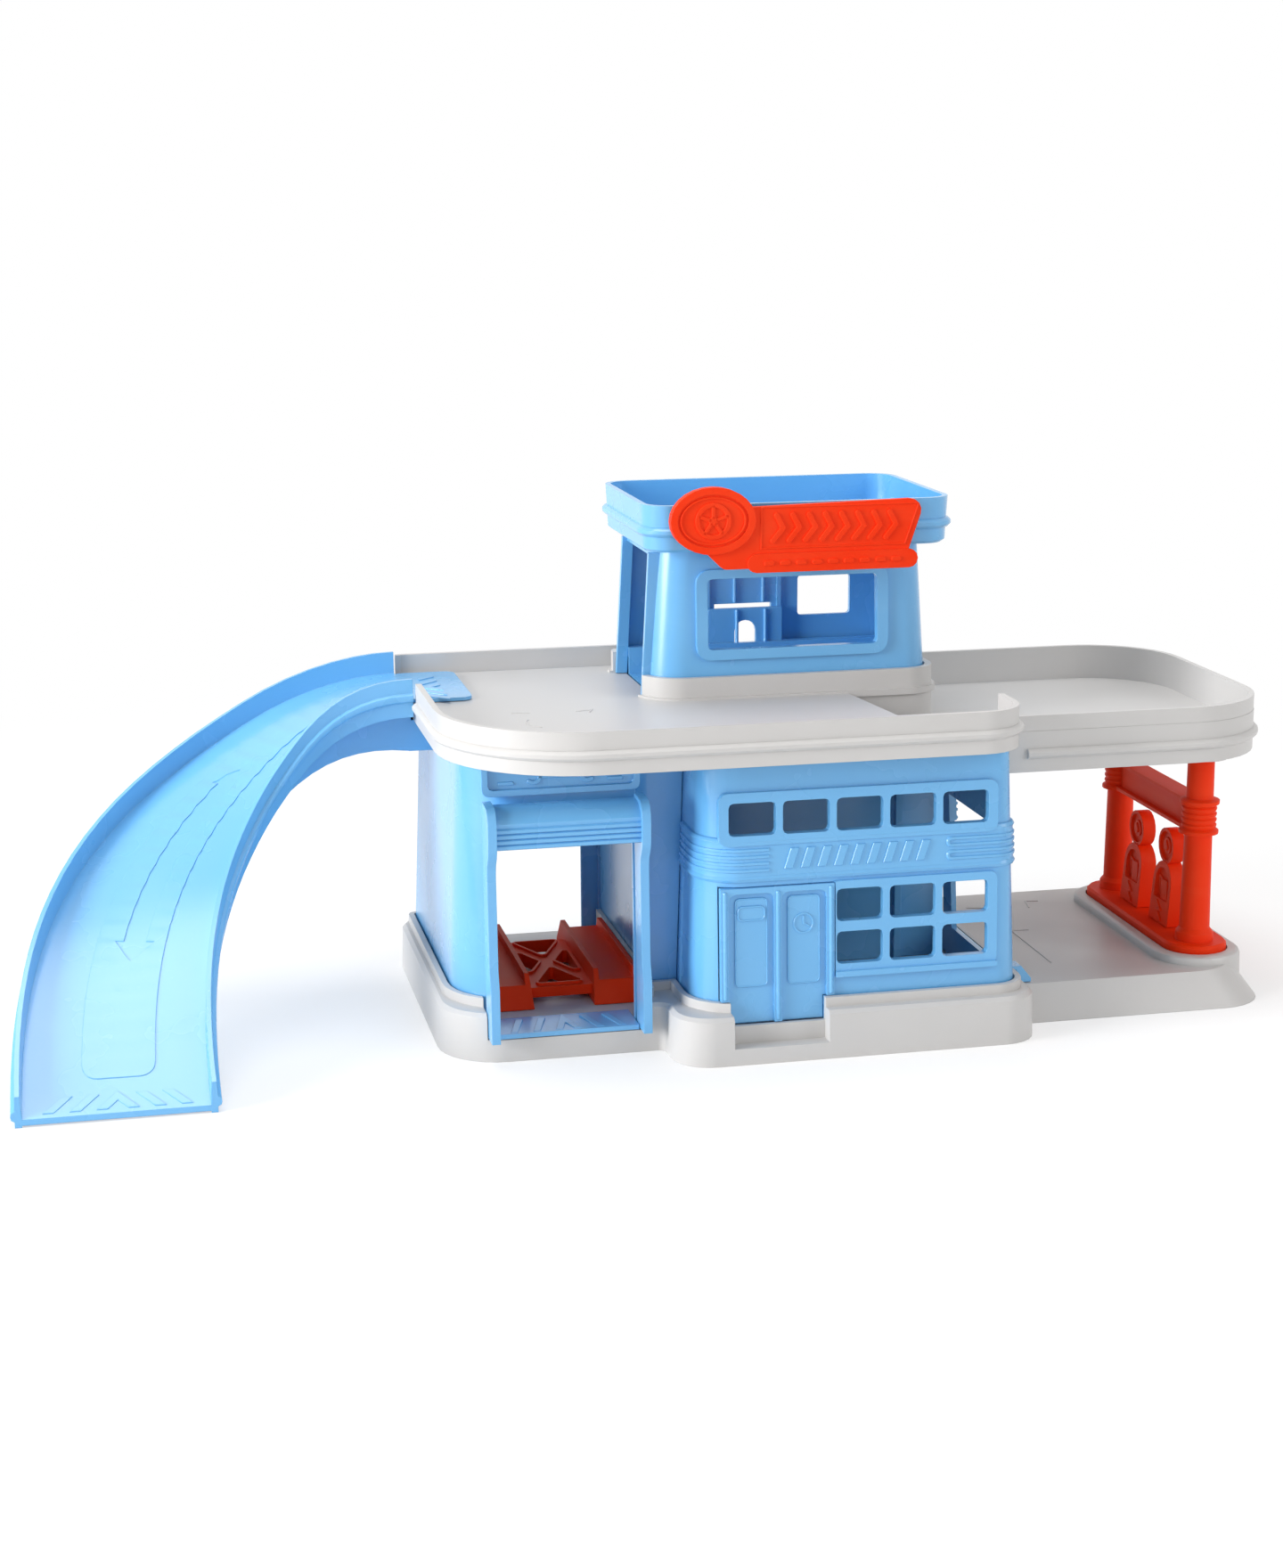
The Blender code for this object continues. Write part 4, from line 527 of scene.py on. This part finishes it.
# %% Roof sign
BANNER_FACE, STRIP_FACE, MEDAL_FACE = -11.4, -12.2, -12.0
MEDAL_X, MEDAL_Z = 27.0, 212.4
SPOKES, SPOKE_FROM, SPOKE_TO, SPOKE_WIDTH = 5, 1.6, 6.2, 1.5
wheel = [ring(oval(MEDAL_X, MEDAL_Z, 28.6, 20.4), 0.8), ring(oval(MEDAL_X, MEDAL_Z, 15.6, 15.6), 2.0),
         oval(MEDAL_X, MEDAL_Z, 4.0, 4.0, 20)]
for k in range(SPOKES):
    turn = math.radians(90 + 360 / SPOKES * k)
    spoke = [(MEDAL_X + r * math.cos(turn), MEDAL_Z + r * math.sin(turn)) for r in (SPOKE_FROM, SPOKE_TO)]
    wheel.append(stroke(spoke, SPOKE_WIDTH))
relief("medallion_wheel", wheel, upright(MEDAL_FACE), "trim_red", height=0.7)

border = [(47.6, 199.6), (111.6, 199.6), (117.6, 216.9), (116.6, 217.7), (47.6, 217.7)]
chevrons = [stroke([(x, 203.2), (x + 4.4, 208.6), (x + 1.6, 214.0)], 2.3)
            for x in (53.0 + 7.1 * k for k in range(8))]
relief("banner_border", [ring(border, 0.8)], upright(BANNER_FACE), "trim_red", height=0.4)
relief("banner_chevrons", chevrons, upright(BANNER_FACE), "trim_red", height=0.8)
dashes = [round_box(x, x + 4.6, 192.7, 194.9, 1.0) for x in (49.0 + 7.0 * k for k in range(9))]
relief("strip_dashes", dashes, upright(STRIP_FACE), "trim_red", height=0.6)

# %% [markdown]
# Over the bay is a framed panel, and round the station runs a ribbed band. The panel gets a plain
# spanner between dashes, and the middle of the band a row of slanted bars. To the right of the
# bars the ribs start in pairs, each pair joined by a round loop. The loops could be swept tubes,
# but a stroke with a deep chamfer is as round at this size and lies on the leaning wall like the
# rest.

# %% Panel over the bay, and the band
PANEL_FACE = -55.4
BAND_FACE = -82.5
SPANNER_X, PANEL_Z = -46.6, 116.5
spanner = [stroke([(SPANNER_X - 8.4, PANEL_Z), (SPANNER_X + 8.4, PANEL_Z)], 2.2),
           stroke(arc(SPANNER_X - 11.2, PANEL_Z, 2.8, -130, 130), 1.7),
           stroke(arc(SPANNER_X + 11.2, PANEL_Z, 2.8, 50, 310), 1.7)]
bars = [round_box(x - 3.3, x + 3.3, z - 0.75, z + 0.75, 0.7)
        for x in (SPANNER_X - 22.6, SPANNER_X + 22.6) for z in (PANEL_Z + 2.6, PANEL_Z - 2.6)]
relief("panel_spanner", spanner, on_wall(PANEL_FACE), "shell_blue", height=0.7)
relief("panel_dashes", bars, on_wall(PANEL_FACE), "shell_blue", height=0.6)

slants = [[(x, 79.0), (x + 3.6, 79.0), (x + 6.4, 87.4), (x + 2.8, 87.4)]
          for x in (40.0 + 7.0 * k for k in range(9))]
relief("band_bars", slants, on_wall(BAND_FACE), "shell_blue", height=0.7)
RIBS_START, LOOP_X, LOOP_RADIUS, RIB_WIDTH = 112.6, 111.4, 1.4, 1.7
loops = [[(RIBS_START, low)] + arc(LOOP_X, low + LOOP_RADIUS, LOOP_RADIUS, 270, 90)
         + [(RIBS_START, low + 2 * LOOP_RADIUS)] for low in (78.8, 84.4)]
relief("band_rib_loops", [stroke(loop, RIB_WIDTH) for loop in loops], on_wall(BAND_FACE), "shell_blue",
       height=0.7, chamfer=0.5)

# %% [markdown]
# The bay is open at the back, but a narrow upright flange stiffens its right wall there, with a
# thin bead in the corner. Two boxes would do, but with the same helper it gets round edges: it is
# drawn in plan and raised, like a relief that stands on the floor.

# %% Flange at the bay's back
FLANGE_FOOT, FLANGE_TOP = 10.0, 124.0
uprights = {"bay_back_flange": round_box(-13.6, -4.4, 78.2, 80.2, 0.9),
            "bay_corner_bead": oval(-5.1, 77.9, 1.8, 1.8, 16)}
for name, plan in uprights.items():
    relief(name, [plan], level(FLANGE_FOOT), "shell_blue", height=FLANGE_TOP - FLANGE_FOOT, chamfer=0.3)

# %% [markdown]
# The lift's upright plate is stiffened by two thin ribs beside its finger hole. They are part of
# the lift, so they ride on its body and go down with it. The tower's rear wall carries the same
# two ribs above the plate. Drawn as one rib each, they would tear when the lift moves, so each is
# split where the plate ends, and the plate's own box says where that is.

# %% Ribs in the lift tower
plate_low, plate_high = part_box("elevator_back_plate")
plate_face, plate_top = plate_low.y / MM, plate_high.z / MM
TOWER_WALL, RIB_FOOT, RIB_TOP = 77.6, 137.4, 196.0
RIB_PLACES, RIB_HALF = (59.0, 72.4), 0.7
lift_ribs, tower_ribs = ([round_box(x - RIB_HALF, x + RIB_HALF, foot, top, 0.6) for x in RIB_PLACES]
                         for foot, top in ((RIB_FOOT, plate_top - 0.6), (plate_top + 1.8, RIB_TOP)))
relief("lift_plate_ribs", lift_ribs, upright(plate_face), "shell_blue", height=1.2, chamfer=0.4,
       body="elevator")
relief("tower_wall_ribs", tower_ribs, upright(TOWER_WALL), "shell_blue", height=1.6, chamfer=0.4)

# %% [markdown]
# The station's double door has half-round jambs, a thin frame line on each leaf, a small bare
# plate with a rim on the left leaf, and a plain clock face on the right one. The rims could be
# separate rings, but a ring is only an outline with a hole, so the same helper raises them too.

# %% Station door
LEAF_PLATE = -81.6
JAMB_FACE = -82.6
frames = [ring(round_box(left, left + 13.8, 30.0, 67.2, 2.0), 0.6) for left in (19.4, 41.6)]
relief("door_frame_lines", frames, on_wall(LEAF_PLATE), "shell_blue", height=0.25)
plate = round_box(20.4, 32.2, 57.7, 64.0, 2.2)
relief("door_bare_plate", [plate], on_wall(LEAF_PLATE), "shell_blue", height=0.35)
relief("door_bare_plate_rim", [ring(plate, 0.7)], on_wall(LEAF_PLATE), "shell_blue", height=0.75)
CLOCK_X, CLOCK_Z = 48.4, 55.4
hands = [(CLOCK_X, CLOCK_Z + 2.8), (CLOCK_X, CLOCK_Z), (CLOCK_X + 2.2, CLOCK_Z - 1.2)]
clock = [ring(oval(CLOCK_X, CLOCK_Z, 9.0, 9.0, 32), 0.9), stroke(hands, 0.9)]
relief("door_clock", clock, on_wall(LEAF_PLATE), "shell_blue", height=0.45)
jambs = [round_box(x - 0.9, x + 0.9, foot, top, 0.8)
         for x, foot, top in ((15.1, 25.0, 70.6), (59.9, 25.0, 70.6), (37.4, 15.4, 70.0))]
relief("door_jamb_ribs", jambs, on_wall(JAMB_FACE), "shell_blue", height=0.8, chamfer=0.6)

# %% [markdown]
# Hatched strips mark where wheels roll over an edge: on the bay's sill, on the ramp's landing tab
# and at the ramp's foot. Their slanted bars meet in the middle like a roof. Thin lane lines run
# over the deck and the forecourt. A bar could be an array of one slanted block, but the middle one
# is bent, so all are drawn as outlines, with p along the way and q across it. All are slightly
# raised, so that they take the light on one side and shade on the other.

# %% Marks on the level surfaces
def roof_bars(base, tops, middle, count, pitch=10.2, near=3.9, wide=4.3, lean=7.2):
    """Slanted bars from p = base to p = tops, with a roof-shaped one across q = middle."""
    ridge = [(base + (tops - base) * reach / lean, middle) for reach in (near + wide, near)]
    drawn = [[(base, middle + near + wide), ridge[0], (base, middle - near - wide),
              (base, middle - near), ridge[1], (base, middle + near)]]
    for side in (-1, 1):
        for k in range(1, count):
            rims = [middle + side * (near + pitch * k + more) for more in (0, wide, wide - lean, -lean)]
            drawn.append([(base, rims[0]), (base, rims[1]), (tops, rims[2]), (tops, rims[3])])
    return [anticlockwise(bar) for bar in drawn]


def on_sill(p, q, w):
    """The bay's sill, which rises a little to the back; p runs to the back, q to the right."""
    return Vector((q, p, SILL_TOP + SILL_SLOPE * (p - SILL_FRONT) + w)) * MM


SILL_FRONT, SILL_TOP, SILL_SLOPE = -64.1, 11.3, 0.4 / 22.1
DECK_TOP, COURT_TOP, LANDING_TOP = 133.1, 14.6, 134.9
sill_bars = roof_bars(-62.6, -47.0, -46.4, 3, pitch=9.4, near=2.4, wide=3.2, lean=4.6)
relief("sill_hatch", sill_bars, on_sill, "shell_blue", height=0.5)
tab_bars = roof_bars(-80.5, -88.2, 49.5, 3, pitch=10.0)
relief("landing_hatch", tab_bars, level(LANDING_TOP), "shell_blue", height=0.45)

deck_lines = [[(-58.4, -4.6), (-51.6, -6.3)], [(-31.4, -7.6), (-24.3, -5.5), (-26.4, -10.4)],
              arc(-44.0, -26.0, 12.0, 150, 232)]
court_lines = [[(168.7, 60.8), (186.0, 55.7)], [(197.6, 55.1), (199.6, 65.4), (205.4, 64.7)],
               [(176.0, -30.0), (176.0, 20.0), (184.0, 20.0)]]
for name, lines, top in (("deck_lines", deck_lines, DECK_TOP), ("forecourt_lines", court_lines, COURT_TOP)):
    relief(name, [stroke(line, 0.8) for line in lines], level(top), "base_grey", height=0.25, chamfer=0.1)

# %% [markdown]
# The ramp's floor is a curved way that drops a deck's height in a quarter turn. Its marks are drawn
# along a straight line first: u is the distance from the deck, v the distance to the outer side.
# A curve modifier could bend them, but it knows nothing of the floor's facets, which then poke
# through. Here the way repeats the solid's own stations, and from each point a ray is shot down on
# the solid, so that the marks lie on its floor exactly.

# %% The ramp's way
DECK_END, RUN_GAP, RAMP_STRAIGHT, RAMP_REACH = -95.5, 1.0, 6.0, 127.5
RAMP_CENTRE, RAMP_END, SQUARENESS = 56.8, -96.6, 2.45
RAMP_TOP, RAMP_FLOOR, RAMP_EASE, RAMP_STEPS = LANDING_TOP, 3.2, 0.25, 28
FINE_STEPS, LOOK_BACK, LOOK_AHEAD = 400, 6, 7


def ramp_stations():
    """Centre, outward direction and floor height at even steps along the ramp."""
    power = 2 / SQUARENESS
    turns = [math.pi / 2 * k / FINE_STEPS for k in range(FINE_STEPS + 1)]
    fine = [Vector((DECK_END - RUN_GAP, RAMP_CENTRE))]
    fine += [Vector((DECK_END - RUN_GAP - RAMP_STRAIGHT - RAMP_REACH * math.sin(t) ** power,
                     RAMP_END + (RAMP_CENTRE - RAMP_END) * max(math.cos(t), 0) ** power)) for t in turns]
    way = [0.0]
    for a, b in zip(fine, fine[1:]):
        way.append(way[-1] + (b - a).length)
    drop = (RAMP_TOP - RAMP_FLOOR) / (1 - RAMP_EASE / 2)
    rows = []
    j = 0
    for i in range(RAMP_STEPS + 1):
        share = i / RAMP_STEPS
        reach = way[-1] * share
        while j < len(way) - 2 and way[j + 1] < reach:
            j += 1
        centre = fine[j].lerp(fine[j + 1], (reach - way[j]) / max(way[j + 1] - way[j], 1e-9))
        along = (fine[min(j + LOOK_AHEAD, len(fine) - 1)] - fine[max(j - LOOK_BACK, 0)]).normalized()
        along = Vector((-1, 0)) if i == 0 else Vector((0, -1)) if i == RAMP_STEPS else along
        eased = share ** 2 / (2 * RAMP_EASE) if share < RAMP_EASE else share - RAMP_EASE / 2
        rows.append((centre, Vector((along.y, -along.x)), RAMP_TOP - drop * eased))
    return rows, way[-1]


stations, ramp_length = ramp_stations()
step = ramp_length / RAMP_STEPS
shell = frame["nodes"]["car_ramp"].data
ramp_shell = BVHTree.FromPolygons([v.co for v in shell.vertices], [f.vertices for f in shell.polygons])
RAY_START, DOWN = 5.0, Vector((0, 0, -1))
CUTS_PER_STEP, CUT_WIDTH, SIDE_CUTS = 3, 3.0, 11
ramp_cuts = [((step / CUTS_PER_STEP * k, 0, 0), (1, 0, 0)) for k in range(1, CUTS_PER_STEP * RAMP_STEPS)]
ramp_cuts += [((0, CUT_WIDTH * k, 0), (0, 1, 0)) for k in range(-SIDE_CUTS, SIDE_CUTS + 1)]


def on_ramp(u, v, w):
    """A point at u along the way, v to its outer side and w above its floor."""
    k = min(int(u / step), RAMP_STEPS - 1)
    share = u / step - k
    spots = [Vector((*(centre + out * v), height)) for centre, out, height in stations[k:k + 2]]
    spot = spots[0].lerp(spots[1], share)
    hit = ramp_shell.ray_cast((spot - DOWN * RAY_START) * MM, DOWN, 2 * RAY_START * MM)[0]
    return (hit or spot * MM) - DOWN * w * MM


print("ramp length in mm:", round(ramp_length), "step:", round(step, 1))

# %% [markdown]
# Down the middle of the ramp runs a long lane, raised a little like a plate, and a double-headed
# arrow is sunk into it. It could be cut out with a boolean, but on a bent plate that is fragile.
# The arrow is simply a hole in the flat outline: the floor of the solid shows through it. Hatched
# bars at the foot meet in the middle like a roof.

# %% Marks on the ramp
LANE_HALF, LANE_SHIFT = 14.2, -1.3
ARROW_FROM, ARROW_TO, ARROW_SHIFT = 77.0, 171.5, -2.6
SHAFT_HALF, HEAD_HALF, HEAD_LENGTH = 4.6, 8.2, 8.8
lane = round_box(9.0, 221.5, LANE_SHIFT - LANE_HALF, LANE_SHIFT + LANE_HALF, 6.0)
tip, tail = ARROW_FROM + HEAD_LENGTH, ARROW_TO - HEAD_LENGTH
arrow = [(ARROW_FROM, 0), (tip, -HEAD_HALF), (tip, -SHAFT_HALF), (tail, -SHAFT_HALF), (tail, -HEAD_HALF),
         (ARROW_TO, 0), (tail, HEAD_HALF), (tail, SHAFT_HALF), (tip, SHAFT_HALF), (tip, HEAD_HALF)]
arrow = [(u, v + ARROW_SHIFT) for u, v in arrow]
relief("ramp_lane", [[lane, arrow[::-1]]], on_ramp, "shell_blue", height=0.45, chamfer=0.1, cuts=ramp_cuts)
foot_bars = roof_bars(234.0, 227.8, -0.5, 3)
relief("ramp_foot_hatch", foot_bars, on_ramp, "shell_blue", height=0.4, chamfer=0.1, cuts=ramp_cuts)

# %% [markdown]
# The pumps have a round globe with a plain drop, a panel with a nozzle, and a zigzag that stands
# for the hose, all moulded in the same orange red. The hose could be a round tube, but on a moulded
# toy it is only raised. Each is a stroke or an outline again, laid on the face that looks to the
# lane, so both pumps come from one loop.

# %% Pumps
GLOBE_Z, GLOBE_FACE, NOZZLE_FACE = 57.2, 240.1, 240.3
pump_face = facing_lane(237.0, lean=2.2 / 28.9, start=21.7)
for name, y in (("front", -4.15), ("rear", 29.65)):
    drop = [(y, GLOBE_Z + 2.7)] + arc(y, GLOBE_Z - 0.6, 1.7, 140, 400, 14)
    relief("pump_drop_" + name, [drop], facing_lane(GLOBE_FACE), "trim_red", height=0.6)
    hose = [(y + 2.4, 31.0), (y - 1.8, 27.8), (y + 1.6, 27.0), (y - 2.6, 23.4)]
    relief("pump_hose_" + name, [stroke(hose, 1.3)], pump_face, "trim_red", height=0.7)
    nozzle = [(y + 2.2, 41.2), (y + 4.8, 42.0), (y + 4.8, 37.6), (y + 3.4, 35.6)]
    relief("pump_nozzle_" + name, [stroke(nozzle, 1.1)], facing_lane(NOZZLE_FACE), "trim_red", height=0.9)
